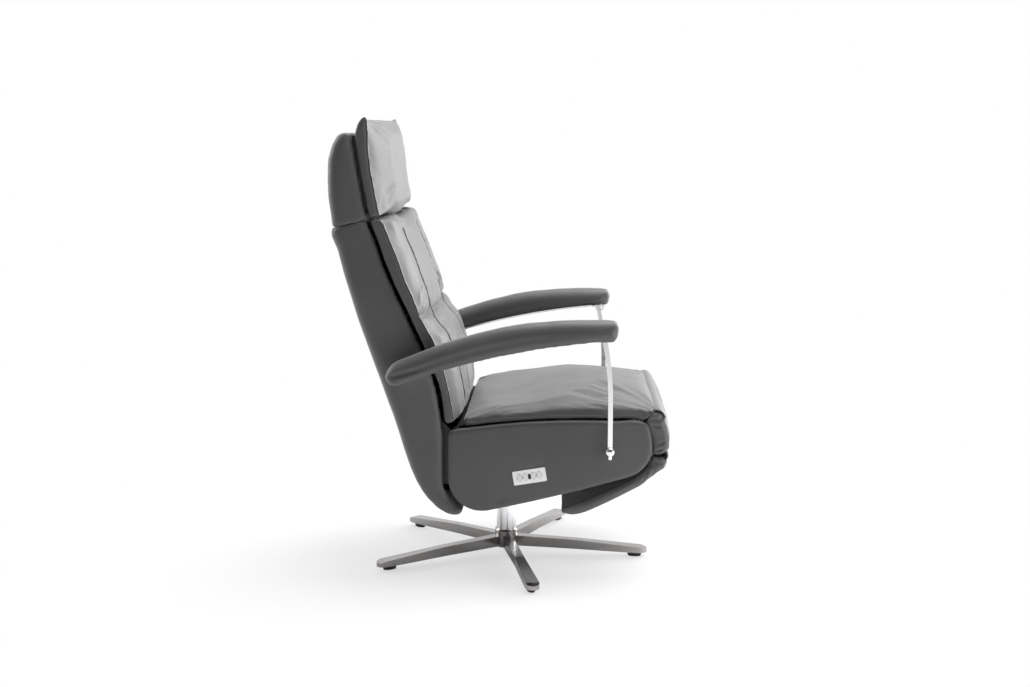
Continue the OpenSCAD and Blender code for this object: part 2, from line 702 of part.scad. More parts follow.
// Share along X of the front edge of the shell at a share of its height
function shell_front(z) = let (pairs = [for (i = [0 :
    len(shell_shares) - 2]) if (shell_shares[i][0][1] >= z && z >= shell_shares[i + 1][0][1]) i])
    let (i = len(pairs) > 0 ? pairs[0] : len(shell_shares) - 2, a = shell_shares[i][0],
        b = shell_shares[i + 1][0]) mix(a[0], b[0], (a[1] - z) / (a[1] - b[1]));
back_crown = 36;
cushion_rows = [for (r = cushion_shares) [pivot + [shell_front(r[0]), r[0]] * back_rise + [rest_gap, 0],
    pivot + r[1] * back_rise, r[2] * back_crown, 1]];
cushion_edge_r = 9;

module back_cushion() {
    color(leather) difference() {
        padded(cushion_rows, cushion_half, cushion_edge_r, pad_shares, function(u) channelled(u));
        head_pocket();
    }
}

// Recline shaft, brackets and lever
module recline_shaft() {
    tip = pivot + lever_l * [cos(lever_angle), sin(lever_angle)];
    color(steel) {
        rod_y(pivot, shaft_r, -bracket_out, bracket_out);
        difference() {
            union() {
                rod_y(pivot, shaft_r * 1.7, drive_y - lever_t / 2, drive_y + lever_t / 2);
                rod_y(tip, lever_eye_r, drive_y - lever_t / 2, drive_y + lever_t / 2);
                slab(bar_outline(pivot, tip, lever_eye_r * 0.8), drive_y - lever_t / 2,
                    drive_y + lever_t / 2);
            }
            slab(bar_outline(mix(pivot, tip, 1 - 1.4 * lever_slot / lever_l),
                mix(pivot, tip, 1 + lever_slot / lever_l), drive_pin_r + rest_gap),
                drive_y - lever_t, drive_y + lever_t);
        }
    }
}
lever_angle = 72.5;
lever_t = 8;
lever_eye_r = 11;
lever_slot = 6;
drive_pin_r = 4;
// Outline of a straight bar between two places, with a half width
function bar_outline(a, b, w) = let (d = (b - a) / norm(b - a), n = [-d[1], d[0]]) [a + n * w, b + n * w,
    b - n * w, a - n * w];

module recline_brackets() {
    reach_low = mix(shell_rows[14][0], shell_rows[14][1], 0.3);
    reach_high = mix(shell_rows[11][0], shell_rows[11][1], 0.3);
    w = shaft_r * 2;
    color(steel) both_sides() difference() {
        union() {
            slab([pivot + [-w / 2, -w], pivot + [w / 4, w], reach_high + [w, w], reach_high + [-w, 0],
                reach_low + [-w, -w]], bracket_in, bracket_out);
            rod_y(pivot, w, bracket_in, bracket_out);
        }
        rod_y(pivot, shaft_r, bracket_in - over, bracket_out + over);
        for (i = bar_rows) rod_y(bar_place(i), bar_r, bracket_in - over, bracket_out + over);
    }
}

// Headrest
head_axis = [head_x, head_z];
head_shell_shares = [
    [[-0.165, -0.017], [-0.561, -0.104]], [[-0.191, 0.083], [-0.578, 0.026]],
    [[-0.217, 0.222], [-0.6, 0.187]],
    [[-0.248, 0.396], [-0.604, 0.374]], [[-0.274, 0.561], [-0.596, 0.561]], [[-0.296, 0.7], [-0.552, 0.713]],
    [[-0.313, 0.787], [-0.491, 0.809]], [[-0.33, 0.817], [-0.435, 0.83]]
];
head_shell_rows = [for (s = head_shell_shares) let (r = placed(s, head_axis, head_rise)) [r[0], r[1], 0, 1]];
head_cushion_shares = [
    [[-0.165, -0.017], [-0.052, 0.017], 0.12], [[-0.191, 0.083], [-0.078, 0.083], 0.79],
    [[-0.217, 0.222], [-0.113, 0.222], 0.94],
    [[-0.248, 0.396], [-0.148, 0.396], 1], [[-0.274, 0.561], [-0.165, 0.561], 1],
    [[-0.296, 0.7], [-0.178, 0.7], 0.97],
    [[-0.313, 0.787], [-0.182, 0.787], 0.91], [[-0.304, 0.846], [-0.183, 0.846], 0.8],
    [[-0.287, 0.91], [-0.183, 0.913], 0.6],
    [[-0.243, 0.961], [-0.191, 0.97], 0.24]
];
head_crown = 33;
head_cushion_rows = [for (r = head_cushion_shares) [head_axis + r[0] * head_rise + [rest_gap, 0],
    head_axis + r[1] * head_rise, r[2] * head_crown, 1]];

module headrest_shell() {
    low = head_shell_rows[0];
    below = [low[0] - [0, shell_wall], low[1] - [0, shell_wall], 0, 1];
    color(leather) difference() {
        padded(head_shell_rows, shell_half, shell_edge_r, plain_shares, function(u) crowned(u));
        slab(hollow(concat([below], part_of(head_shell_rows, 1, 6))), shell_wall - shell_half,
            shell_half - shell_wall);
    }
}

module headrest_board() {
    half = shell_half - shell_wall;
    color(wood) slab(between(part_of(head_shell_rows, 1, 6), 0, board_t / 2), -half, half);
}

module headrest_cushion() {
    color(leather) difference() {
        padded(head_cushion_rows, cushion_half, cushion_edge_r, pad_shares, function(u) crowned(u));
        head_pocket();
    }
}

// Two links carry the headrest; they turn on pins in the crease between the cushions, in pockets of the foam
head_bar = 0.35;
head_link_y = rail_in / 2;
head_link_t = 6;
head_link_w = 5;
head_link_axis = head_axis + [-0.1, -0.01] * head_rise;
head_link_high = mix(head_shell_rows[1][0], head_shell_rows[1][1], head_bar);
module head_pocket() {
    y0 = head_link_y - head_link_t - 2 * over;
    y1 = head_link_y + head_link_t + 3 * over;
    both_sides() {
        rod_y(head_link_axis, head_knuckle_r + over, y0, y1);
        slab(bar_outline(head_link_axis, head_link_high, head_link_w + over), y0, y1);
        slab(bar_outline(head_link_axis, bar_place(bar_rows[0]), head_link_w + over), y0, y1);
    }
}
module headrest_frame() {
    high = mix(head_shell_rows[4][0], head_shell_rows[4][1], head_bar);
    half = shell_half - shell_wall;
    color(steel) {
        both_sides() {
            slab(bar_outline(head_link_high, high, bar_r), head_link_y, head_link_y + head_link_t);
            rod_y(head_link_high, bar_r, head_link_y, head_link_y + head_link_t);
            difference() {
                union() {
                    slab(bar_outline(head_link_axis, head_link_high, head_link_w), head_link_y,
                        head_link_y + head_link_t);
                    rod_y(head_link_axis, head_knuckle_r, head_link_y, head_link_y + head_link_t);
                }
                rod_y(head_link_axis, head_pin_r + turn_gap, head_link_y - over,
                    head_link_y + head_link_t + over);
            }
        }
        rod_y(high, bar_r, -half, half);
    }
}
head_pin_r = 3.5;

module head_hinge_lower() {
    low = bar_place(bar_rows[0]);
    y0 = head_link_y - head_link_t - rest_gap;
    color(steel) both_sides() difference() {
        union() {
            rod_y(head_link_axis, head_pin_r, y0, head_link_y + head_link_t + 2 * over);
            rod_y(head_link_axis, head_knuckle_r, y0, y0 + head_link_t);
            slab(bar_outline(head_link_axis, low, head_link_w), y0, y0 + head_link_t);
            rod_y(low, bar_r + 4 * over, y0, y0 + head_link_t);
        }
        rod_y(low, bar_r, y0 - over, y0 + head_link_t + over);
    }
}

// Armrests
function arc_z(x, crest_x, crest_z, r) = crest_z - r + sqrt(pow(r, 2) - pow(x - crest_x, 2));
arm_end_r = arm_w * 0.42;
arm_shares = [0, 0.01, 0.03, 0.055, 0.09, 0.16, 0.26, 0.38, 0.5, 0.62, 0.74, 0.84, 0.91, 0.945, 0.97, 0.99,
    1];
function pinch(d) = d > arm_end_r ? 1 : max(0.16, sqrt(1 - pow((arm_end_r - d) / arm_end_r, 2)));
function width_pinch(d) = d > arm_w * 0.6 ? 1 : max(0.4,
    sqrt(1 - pow((arm_w * 0.6 - d) / (arm_w * 0.6), 2) * 0.84));
arm_rows = [for (k = arm_shares)
    let (x = mix(arm_back_x, arm_front_x, k), d = min(x - arm_back_x, arm_front_x - x),
        top = arc_z(x, arm_crest_x, arm_top_z, arm_top_r),
        low = arc_z(x, rail_crest_x, rail_crest_z, rail_arc_r),
        middle = (top + low) / 2, half = (top - low) / 2 * pinch(d))
    [[x, middle - half], [x, middle + half], 0, width_pinch(d)]];
arm_edge_r = 22;
rail_centre = [rail_crest_x, rail_crest_z - rail_arc_r];
function rail_angle(x) = acos((x - rail_centre[0]) / rail_arc_r);
module rail_sector(x0, x1, y0, y1) {
    a0 = rail_angle(x1);
    a1 = rail_angle(x0);
    translate([rail_centre[0], 0, rail_centre[1]]) rotate([90, 0, 0]) rotate([0, 0, a0])
        rotate_extrude(angle = a1 - a0, $fn = 720) translate([rail_arc_r, -y1]) square([arm_rail_t, y1 - y0]);
}

// Places outside the panels: the arm lugs, then the struts
lug_in = max(shell_half + 5.5 * over, seat_half + 2.5 * over);
lug_t = 4.5;
lug_out = lug_in + lug_t;
arm_y = lug_out + arm_gap + arm_w / 2;
strut_in = lug_out + 3 * over;
strut_out = strut_in + strut_t;
strut_foot = [strut_foot_x, strut_foot_z];
strut_top = strut_foot + [-strut_bend_r + sqrt(pow(strut_bend_r, 2) - pow(strut_rise - strut_straight, 2)),
    strut_rise];
arm_bolt = [arm_bolt_x, arm_bolt_z];
arm_bolt_r = 5;
lug_r = 11;
pin_r = 3.5;
// The strut's pin slides a little in the lug's slot as the armrest comes down
lug_slot = 3.7;
lug_slot_shift = 3.1;
lug_slot_r = pin_r + 1.1;
rail_y0 = arm_y - arm_w / 2 + 4 * over;
rail_y1 = rail_y0 + arm_rail_w;
rail_x0 = arm_back_x + arm_end_r;
rail_x1 = arm_front_x - arm_end_r / 2;

module arm_pad() {
    stations = concat(
        edge_stations(arm_w / 2, arm_edge_r, -1),
        [[0, 0]],
        reversed(edge_stations(arm_w / 2, arm_edge_r, 1)));
    xs = [for (k = [0 : 24]) mix(rail_x0 - over, rail_x1 + over, k / 24)];
    difference() {
        translate([0, arm_y, 0]) loft([for (s = stations) pad_ring(arm_rows, s[0], s[1], 0)]);
        slab(concat(
            [for (x = xs) [x, arc_z(x, rail_crest_x, rail_crest_z, rail_arc_r) - arm_rail_t]],
            reversed([for (x = xs) [x, arc_z(x, rail_crest_x, rail_crest_z,
                rail_arc_r) + arm_rail_t + rest_gap]])),
            arm_y - arm_w / 2 - over, rail_y1 + rest_gap);
    }
}

module arm_rail() {
    web_x = strut_top[0] - 1.6 * lug_r;
    rear_low = arc_z(arm_bolt_x, rail_crest_x, rail_crest_z, rail_arc_r) + arm_rail_t / 2;
    slot = [for (side = [-1, 1]) strut_top + [lug_slot_shift + side * lug_slot, 0]];
    difference() {
        union() {
            rail_sector(rail_x0, rail_x1, lug_in, rail_y1);
            for (p = slot) rod_y(p, lug_slot_r + 3 * over, lug_in, lug_out);
            block([slot[0][0], lug_in, strut_top[1] - lug_slot_r - 3 * over + over / 4],
                [slot[1][0], lug_out, strut_top[1] + lug_slot_r]);
            rod_y(arm_bolt, lug_r, lug_in, lug_out);
            block([arm_bolt_x - lug_r, lug_in, rear_low], [arm_bolt_x + lug_r, lug_out, arm_bolt_z]);
        }
        block([arm_bolt_x + 1.5 * lug_r, lug_in - over, arm_bolt_z - arm_w], [web_x, rail_y0, arm_top_z]);
        block([slot[0][0] - lug_slot_r - 3 * over, lug_out, strut_top[1] - 2 * lug_r],
            [slot[1][0] + lug_slot_r + 3 * over, strut_out + 2 * over, arm_top_z]);
        for (p = slot) rod_y(p, lug_slot_r, lug_in - over, lug_out + over);
        block([slot[0][0], lug_in - over, strut_top[1] - lug_slot_r],
            [slot[1][0], lug_out + over, strut_top[1] + lug_slot_r]);
        rod_y(arm_bolt, arm_bolt_r + turn_gap, lug_in - over, lug_out + over);
    }
}

module arm_rail_left() { color(chrome) arm_rail(); }
module arm_rail_right() { color(chrome) mirror([0, 1, 0]) arm_rail(); }
module arm_pad_left() { color(leather) arm_pad(); }
module arm_pad_right() { color(leather) mirror([0, 1, 0]) arm_pad(); }

module arm_bolts() {
    color(steel) both_sides() {
        rod_y(arm_bolt, arm_bolt_r, bracket_in, lug_out + rest_gap + over);
        rod_y(arm_bolt, lug_r * 0.8, shell_half + rest_gap, lug_in - rest_gap);
        rod_y(arm_bolt, lug_r * 0.8, lug_out + rest_gap, lug_out + rest_gap + 3 * over);
    }
}

module arm_strut() {
    bend = strut_foot + [-strut_bend_r, strut_straight];
    lift = asin((strut_rise - strut_straight) / strut_bend_r);
    difference() {
        union() {
            block([strut_foot_x - strut_w / 2, strut_in, strut_foot_z - strut_w * 0.9],
                [strut_foot_x + strut_w / 2, strut_out, strut_foot_z + strut_straight]);
            block([strut_foot_x - strut_w / 4, strut_in, strut_foot_z + strut_straight - strut_w],
                [strut_foot_x + strut_w / 4, strut_out, strut_foot_z + strut_straight + strut_w]);
            translate([bend[0], strut_in, bend[1]]) rotate([-90, 0, 0]) rotate([0, 0, -lift])
                rotate_extrude(angle = lift, $fn = 360) translate([strut_bend_r - strut_w / 2,
                    0]) square([strut_w, strut_t]);
            rod_y(strut_top, strut_w / 2 + over, strut_in, strut_out + over / 2);
            rod_y(strut_top, strut_w / 2, lug_out + rest_gap, strut_in + over);
            rod_y(strut_top, pin_r, lug_in, strut_in + over);
        }
        rod_y(strut_foot, pin_r + turn_gap, strut_in - over, strut_out + over);
    }
}

module arm_strut_left() { color(chrome) arm_strut(); }
module arm_strut_right() { color(chrome) mirror([0, 1, 0]) arm_strut(); }

ball_r = 9.5;
module strut_bolts() {
    color(chrome) both_sides() {
        rod_y(strut_foot, pin_r, seat_half, strut_out + 2 * over);
        rod_y(strut_foot, pin_r * 2, seat_half, strut_in - rest_gap);
        intersection() {
            translate([strut_foot_x, strut_out + rest_gap, strut_foot_z]) sphere(r = ball_r);
            rod_y(strut_foot, ball_r + over, strut_out + rest_gap, strut_out + 2 * ball_r);
        }
    }
}

// Leg rest: a calf pad round the nose and a foot pad folded under the seat
calf_shares = [
    [[1.17, 0.36], [1.285, 0.455], 0.5], [[1.18, 0.345], [1.303, 0.428], 0.8],
    [[1.204, 0.296], [1.32, 0.369], 1],
    [[1.216, 0.244], [1.335, 0.293], 1], [[1.218, 0.212], [1.33, 0.232], 0.8],
        [[1.217, 0.195], [1.316, 0.2], 0.4]
];
foot_shares = [
    [[1.211, 0.148], [1.297, 0.143], 0.4], [[1.195, 0.095], [1.28, 0.095], 0.8],
    [[1.149, 0.037], [1.216, 0.024], 1],
    [[1.064, -0.009], [1.134, -0.043], 1], [[0.966, -0.052], [0.997, -0.116], 1],
    [[0.851, -0.101], [0.854, -0.189], 1],
    [[0.753, -0.146], [0.768, -0.232], 0.9], [[0.668, -0.186], [0.701, -0.259], 0.7],
    [[0.607, -0.213], [0.64, -0.274], 0.4],
    [[0.579, -0.226], [0.595, -0.268], 0.2]
];
function leg_rows(shares) = [for (s = shares) [pivot + s[0] * seat_run, pivot + s[1] * seat_run,
    s[2] * leg_crown, 1]];
foot_reach = foot_x - pivot_x - 1.213 * seat_run;
calf_rows = concat([crease_row(calf_axis, calf_crease, nose_reach - 2 * shell_gap, 1)],
    leg_rows(calf_shares), [crease_row(foot_axis, foot_crease, foot_reach, -1)]);
foot_rows = concat([crease_row(foot_axis, foot_crease, foot_reach, 1)], leg_rows(foot_shares));
leg_edge_r = 12;
leg_board_half = leg_half - leg_edge_r;

module calf_board() { color(black) slab(between(calf_rows, 0, leg_board_t), -leg_board_half,
    leg_board_half); }
module foot_board() { color(black) slab(between(foot_rows, 0, leg_board_t), -leg_board_half,
    leg_board_half); }
module calf_cushion() {
    color(leather) padded(from_depth(calf_rows, leg_board_t + rest_gap), leg_half, leg_edge_r, pad_shares,
        function(u) crowned(u));
}
module foot_cushion() {
    color(leather) padded(from_depth(foot_rows, leg_board_t + rest_gap), leg_half, leg_edge_r, pad_shares,
        function(u) crowned(u));
}

// A lever on the calf board reaches into the seat box, where its pin rides in the yoke of the drive's rod
leg_pin = calf_axis + calf_crease * leg_lever_l;
leg_pin_r = 4;
yoke_t = 6;
yoke_y = -drive_y;
module leg_lever() {
    y0 = yoke_y + yoke_t / 2 + rest_gap;
    color(steel) {
        slab([leg_pin + [-leg_pin_r, 2 * leg_pin_r], calf_rows[2][0], calf_rows[3][0],
            leg_pin + [leg_pin_r, -2 * leg_pin_r]], y0, y0 + yoke_t);
        rod_y(leg_pin, 2 * leg_pin_r, y0, y0 + yoke_t);
        rod_y(leg_pin, leg_pin_r, yoke_y - yoke_t / 2, y0);
    }
}

// Butt hinges in the two creases: leaves lie against the pads, knuckles turn on a pin along the crease
hinge_w = 40;
hinge_places = [-0.72, 0, 0.72];
calf_leaf_l = nose_reach + frame_inset - rest_gap / 2;
foot_leaf_l = foot_reach;
module hinge_leaf(axis, crease, reach, side, y0, y1) {
    n = [-crease[1], crease[0]] * side;
    a = axis + n * rest_gap / 2 + crease * knuckle_r / 2;
    b = axis + n * rest_gap / 2 + crease * reach;
    slab(side > 0 ? [a, b, b + n * leaf_t, a + n * leaf_t] : [a, a + n * leaf_t, b + n * leaf_t, b], y0, y1);
}
module hinge_half(axis, crease, reach, side, bore, middle) {
    for (k = hinge_places) {
        y = k * rail_in;
        spans = middle ? [[-hinge_w / 6, hinge_w / 6]] :
            [[-hinge_w / 2, -hinge_w / 6 - rest_gap], [hinge_w / 6 + rest_gap, hinge_w / 2]];
        difference() {
            union() {
                for (s = spans) {
                    rod_y(axis, knuckle_r, y + s[0], y + s[1]);
                    hinge_leaf(axis, crease, reach, side, y + s[0], y + s[1]);
                }
                hinge_leaf(axis, crease, reach, side, y - hinge_w / 2, y + hinge_w / 2);
            }
            rod_y(axis, hinge_pin_r + bore, y - hinge_w, y + hinge_w);
            if (middle) {
                for (s = [-1, 1]) clear_knuckle(axis, y + s * (hinge_w / 3 + rest_gap),
                    hinge_w / 3 + rest_gap);
            } else {
                clear_knuckle(axis, y, hinge_w / 3 + 2 * rest_gap);
            }
        }
    }
}
module clear_knuckle(axis, y, w)
    rod_y(axis, knuckle_r + rest_gap, y - w / 2, y + w / 2);

module leg_hinge_top_leaves() { color(steel) hinge_half(calf_axis, calf_crease, calf_leaf_l, -1, 0, false); }
module leg_hinge_top_pins() { color(steel) for (k = hinge_places) rod_y(calf_axis, hinge_pin_r,
    k * rail_in - hinge_w / 2, k * rail_in + hinge_w / 2); }
module calf_leaves() {
    color(steel) {
        hinge_half(calf_axis, calf_crease, nose_reach - 2 * shell_gap, 1, turn_gap, true);
        hinge_half(foot_axis, foot_crease, foot_leaf_l, -1, 0, false);
    }
}
module foot_pins() { color(steel) for (k = hinge_places) rod_y(foot_axis, hinge_pin_r,
    k * rail_in - hinge_w / 2, k * rail_in + hinge_w / 2); }
module foot_leaves() { color(steel) hinge_half(foot_axis, foot_crease, foot_leaf_l, 1, turn_gap, true); }

// Drives: an outer tube with its motor and gearbox, and an inner tube that slides
lever_tip = pivot + lever_l * [cos(lever_angle), sin(lever_angle)];
recline_z = lever_tip[1];
leg_drive_z = calf_axis[1] + calf_crease[1] * leg_lever_l * 0.9;
module drive_body(x0, x1, y, z, side) {
    rod_x(y, z, drive_r, min(x0, x1), max(x0, x1));
    motor_z = z - drive_r - motor_r + 2 * over;
    rod_x(y, motor_z, motor_r, min(x0, x1) + (side > 0 ? drive_l / 3 : 0),
        max(x0, x1) - (side > 0 ? 0 : drive_l / 3));
    gear_x0 = side > 0 ? x1 : x0 - cross_t;
    block([gear_x0, y - motor_r - over, motor_z - motor_r - over],
        [gear_x0 + cross_t, y + motor_r + over, z + drive_r + over]);
}

recline_x1 = front_rail_x - cross_t / 2 - cross_t;
recline_x0 = recline_x1 - drive_l;
module recline_drive() {
    color(black) difference() {
        drive_body(recline_x0, recline_x1, drive_y, recline_z, 1);
        rod_x(drive_y, recline_z, rod_r + turn_gap, recline_x0 - over, recline_x1);
    }
}

fork_half = 9.5;
module rod_fork(x, y, z, dir) {
    for (side = [-1, 1])
        block([min(x - dir * 7 * over, x + dir * 18 * over), side > 0 ? y + lever_t / 2 + rest_gap :
            y - fork_half, z - 7 * over],
            [max(x - dir * 7 * over, x + dir * 18 * over), side > 0 ? y + fork_half :
                y - lever_t / 2 - rest_gap, z + 7 * over]);
    block([min(x + dir * 13 * over, x + dir * 18 * over), y - fork_half, z - 7 * over],
        [max(x + dir * 13 * over, x + dir * 18 * over), y + fork_half, z + 7 * over]);
    rod_y([x, z], drive_pin_r, y - fork_half, y + fork_half);
}

module recline_rod() {
    color(steel) {
        rod_fork(lever_tip[0], drive_y, recline_z, 1);
        rod_x(drive_y, recline_z, rod_r, lever_tip[0] + 17 * over, recline_x1 - drive_l / 4);
    }
}

leg_x1 = front_rail_x + cross_t;
leg_x0 = leg_x1 - drive_l;
module leg_drive() {
    color(black) difference() {
        union() {
            drive_body(leg_x0, leg_x1, -drive_y, leg_drive_z, -1);
            block([beam_x[1] - beam_w / 4, -drive_y - motor_r / 2, plate_top + beam_h],
                [beam_x[1] + beam_w / 4, -drive_y + motor_r / 2, leg_drive_z - drive_r - motor_r]);
        }
        rod_x(-drive_y, leg_drive_z, rod_r + turn_gap, leg_x0, leg_x1 + over);
    }
}
yoke_play = 2.3;
yoke_x = leg_pin[0] - 1.5 * over;
module leg_rod() {
    low = calf_axis[1] - leg_lever_l - 1.2 * leg_pin_r;
    high = leg_pin[1] + 1.2 * leg_pin_r;
    wide = leg_pin_r + yoke_play;
    color(steel) {
        rod_x(yoke_y, leg_drive_z, rod_r, leg_x0 + drive_l / 12, yoke_x - wide - 3 * over);
        difference() {
            block([yoke_x - wide - 5 * over, yoke_y - yoke_t / 2, low - 4 * over],
                [yoke_x + wide + 4 * over, yoke_y + yoke_t / 2, high + 4 * over]);
            block([yoke_x - wide, yoke_y - yoke_t, low], [yoke_x + wide, yoke_y + yoke_t, high]);
        }
    }
}

box_l = 80;
box_w = 96;
box_h = 36;
module control_box() {
    inside = underside(frame_inset - rest_gap / 2);
    p = inside[14];
    slope = atan2(inside[15][1] - inside[13][1], inside[15][0] - inside[13][0]);
    color(black) translate([p[0], 0, p[1]]) rotate([0, -slope, 0])
        block([-box_l / 2, -box_w / 2, rest_gap + over / 5], [box_l / 2, box_w / 2, box_h]);
}

// Keypad on the right side panel; its own frame has X along the plate and Z up
module on_keypad() translate([key_x, -seat_half, key_z]) rotate([0, -key_tilt, 0]) children();
key_corner_r = 3;
button_depth = 5;
button_gap = 0.25;
module oval(w, h, y0, y1) {
    r = w / 2;
    for (side = [-1, 1]) translate([0, y1, side * (h / 2 - r)]) rotate([90, 0, 0]) cylinder(r = r,
        h = y1 - y0);
    block([-r, y0, -(h / 2 - r)], [r, y1, h / 2 - r]);
}
button_shares = [-1.6, -0.6, 0.6, 1.6];
button_x = [for (k = button_shares) k * button_pitch + (k > 0 ? 1 : -1) * over];

module keypad_plate() {
    color(silver) on_keypad() difference() {
        union() {
            block([-key_l / 2 + key_corner_r, -key_t, -key_h / 2], [key_l / 2 - key_corner_r, 0, key_h / 2]);
            block([-key_l / 2, -key_t, -key_h / 2 + key_corner_r], [key_l / 2, 0, key_h / 2 - key_corner_r]);
            for (sx = [-1, 1]) for (sz = [-1, 1]) translate([sx * (key_l / 2 - key_corner_r), 0,
                sz * (key_h / 2 - key_corner_r)])
                rotate([90, 0, 0]) cylinder(r = key_corner_r, h = key_t);
        }
        for (x = button_x) translate([x, 0, 0]) oval(button_w + 2 * button_gap, button_h + 2 * button_gap,
            -key_t - over, over);
        oval(lens_w, lens_h, -key_t - over, over);
    }
}
lens_w = 6;
lens_h = 14;

module keypad_lens() { color(black) on_keypad() oval(lens_w, lens_h, -key_t - over / 2, 0); }

module keypad_housing() {
    half_l = key_l / 2 - 6 * over;
    half_h = key_h / 2 - 5 * over;
    color(black) on_keypad() difference() {
        block([-half_l, 0, -half_h], [half_l, panel_t - over, half_h]);
        for (x = button_x) translate([x, 0, 0])
            oval(button_w + 2 * button_gap, button_h + 2 * button_gap, -over,
                button_depth - key_t + button_travel + rest_gap);
    }
}

module button(i) {
    color(silver) on_keypad() translate([button_x[i], 0, 0]) oval(button_w, button_h, -key_t - 1.5 * over,
        button_depth - key_t);
}
module button_1() { button(0); }
module button_2() { button(1); }
module button_3() { button(2); }
module button_4() { button(3); }

star_base();
glides();
column_tube();
thrust_bearing();
swivel_spindle();
swivel_plate();
swivel_beams();
seat_rail_left();
seat_rail_right();
seat_cross_rails();
nose_board();
seat_springs();
seat_deck();
bottom_cover();
side_panel_left();
side_panel_right();
seat_cushion();
strut_bolts();
leg_hinge_top_leaves();
leg_hinge_top_pins();
recline_drive();
leg_drive();
control_box();
keypad_housing();
keypad_plate();
keypad_lens();
button_1();
button_2();
button_3();
button_4();
recline_rod();
leg_rod();
recline_shaft();
recline_brackets();
back_boards();
back_cross_bars();
back_springs();
back_shell();
back_cushion();
arm_bolts();
head_hinge_lower();
headrest_frame();
headrest_board();
headrest_shell();
headrest_cushion();
arm_rail_left();
arm_rail_right();
arm_pad_left();
arm_pad_right();
arm_strut_left();
arm_strut_right();
calf_board();
calf_cushion();
calf_leaves();
leg_lever();
foot_pins();
foot_board();
foot_cushion();
foot_leaves();
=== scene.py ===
import math

import bpy
import numpy as np
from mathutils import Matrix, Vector, noise
from mathutils.bvhtree import BVHTree


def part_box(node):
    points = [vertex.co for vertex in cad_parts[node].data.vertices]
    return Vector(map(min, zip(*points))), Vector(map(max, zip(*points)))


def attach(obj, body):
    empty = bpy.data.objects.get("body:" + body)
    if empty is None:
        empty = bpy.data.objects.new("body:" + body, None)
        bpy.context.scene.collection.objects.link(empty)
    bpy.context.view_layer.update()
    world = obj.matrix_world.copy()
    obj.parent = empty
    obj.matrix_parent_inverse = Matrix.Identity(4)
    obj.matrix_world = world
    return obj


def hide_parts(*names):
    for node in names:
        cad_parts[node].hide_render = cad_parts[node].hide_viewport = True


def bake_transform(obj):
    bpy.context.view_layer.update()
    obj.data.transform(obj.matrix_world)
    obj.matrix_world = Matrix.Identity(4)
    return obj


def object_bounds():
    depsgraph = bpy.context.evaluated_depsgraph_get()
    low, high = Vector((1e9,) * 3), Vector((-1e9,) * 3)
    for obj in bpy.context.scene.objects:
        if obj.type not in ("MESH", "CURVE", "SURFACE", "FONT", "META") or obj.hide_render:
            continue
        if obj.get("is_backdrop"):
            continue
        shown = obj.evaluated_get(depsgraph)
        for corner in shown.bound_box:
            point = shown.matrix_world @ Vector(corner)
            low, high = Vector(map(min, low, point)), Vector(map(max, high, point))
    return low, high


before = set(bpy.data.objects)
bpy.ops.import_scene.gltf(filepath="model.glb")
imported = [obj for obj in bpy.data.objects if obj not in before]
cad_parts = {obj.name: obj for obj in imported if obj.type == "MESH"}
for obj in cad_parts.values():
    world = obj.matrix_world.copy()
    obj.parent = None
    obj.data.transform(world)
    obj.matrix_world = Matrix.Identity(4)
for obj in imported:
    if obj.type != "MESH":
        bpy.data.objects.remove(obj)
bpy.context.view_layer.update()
scene = bpy.context.scene
scene.view_settings.view_transform = "Standard"

# Camera at the photograph's viewing angle: a little above the arms, looking at the chair's right side.
# The picture is 1030 by 687, and the lens is the one that was fitted to the base, the arms and the back.
CAMERA_PLACE = (0.14415, -3.49531, 1.06672)
CAMERA_AIM = (0.02235, 0.0, 0.5389)
bpy.ops.object.camera_add(location=CAMERA_PLACE)
camera = bpy.context.object
camera.data.sensor_width = 36
camera.data.lens = 49.08
camera.rotation_euler = (Vector(CAMERA_AIM) - Vector(CAMERA_PLACE)).to_track_quat("-Z", "Y").to_euler()
scene.camera = camera


# Studio: a white room that is bright above and behind the chair and dim on the camera's side.
# One soft box hangs over the seat, one stands before the chair, and the pale floor runs out into the white wall.
def lamp(name, place, aim, size, power):
    bpy.ops.object.light_add(type="AREA", location=place)
    light = bpy.context.object
    light.name = name
    light.data.shape = "SQUARE"
    light.data.size = size
    light.data.energy = power
    light.rotation_euler = (Vector(aim) - Vector(place)).to_track_quat("-Z", "Y").to_euler()


lamp("top_box", (0.8, 0.25, 3.2), (0.0, 0.0, 0.4), 2.8, 125)
lamp("front_box", (2.8, 2.5, 1.7), (0.0, 0.0, 0.6), 2.4, 102)
lamp("rear_box", (-3.0, 0.9, 1.5), (0.0, 0.0, 0.6), 2.0, 32)
lamp("low_front_box", (2.3, -1.3, 0.25), (0.3, -0.1, 0.30), 1.0, 22)

NEAR_SIDE_LIGHT = 0.15
FAR_SIDE_LIGHT = 0.95
WALL_WHITE = (1.0, 1.0, 1.0, 1)
world = bpy.data.worlds.new("studio")
scene.world = world
world.use_nodes = True
sky = world.node_tree
sky_light = sky.nodes["Background"]
sky_light.inputs["Color"].default_value = (0.97, 0.975, 0.985, 1)
direction = sky.nodes.new("ShaderNodeTexCoord")
parts = sky.nodes.new("ShaderNodeSeparateXYZ")
strength = sky.nodes.new("ShaderNodeMapRange")
strength.interpolation_type = "SMOOTHSTEP"
strength.inputs["From Min"].default_value = -0.7
strength.inputs["From Max"].default_value = 0.5
strength.inputs["To Min"].default_value = NEAR_SIDE_LIGHT
strength.inputs["To Max"].default_value = FAR_SIDE_LIGHT
white = sky.nodes.new("ShaderNodeBackground")
white.inputs["Color"].default_value = WALL_WHITE
seen = sky.nodes.new("ShaderNodeMixShader")
paths = sky.nodes.new("ShaderNodeLightPath")
sky.links.new(direction.outputs["Generated"], parts.inputs["Vector"])
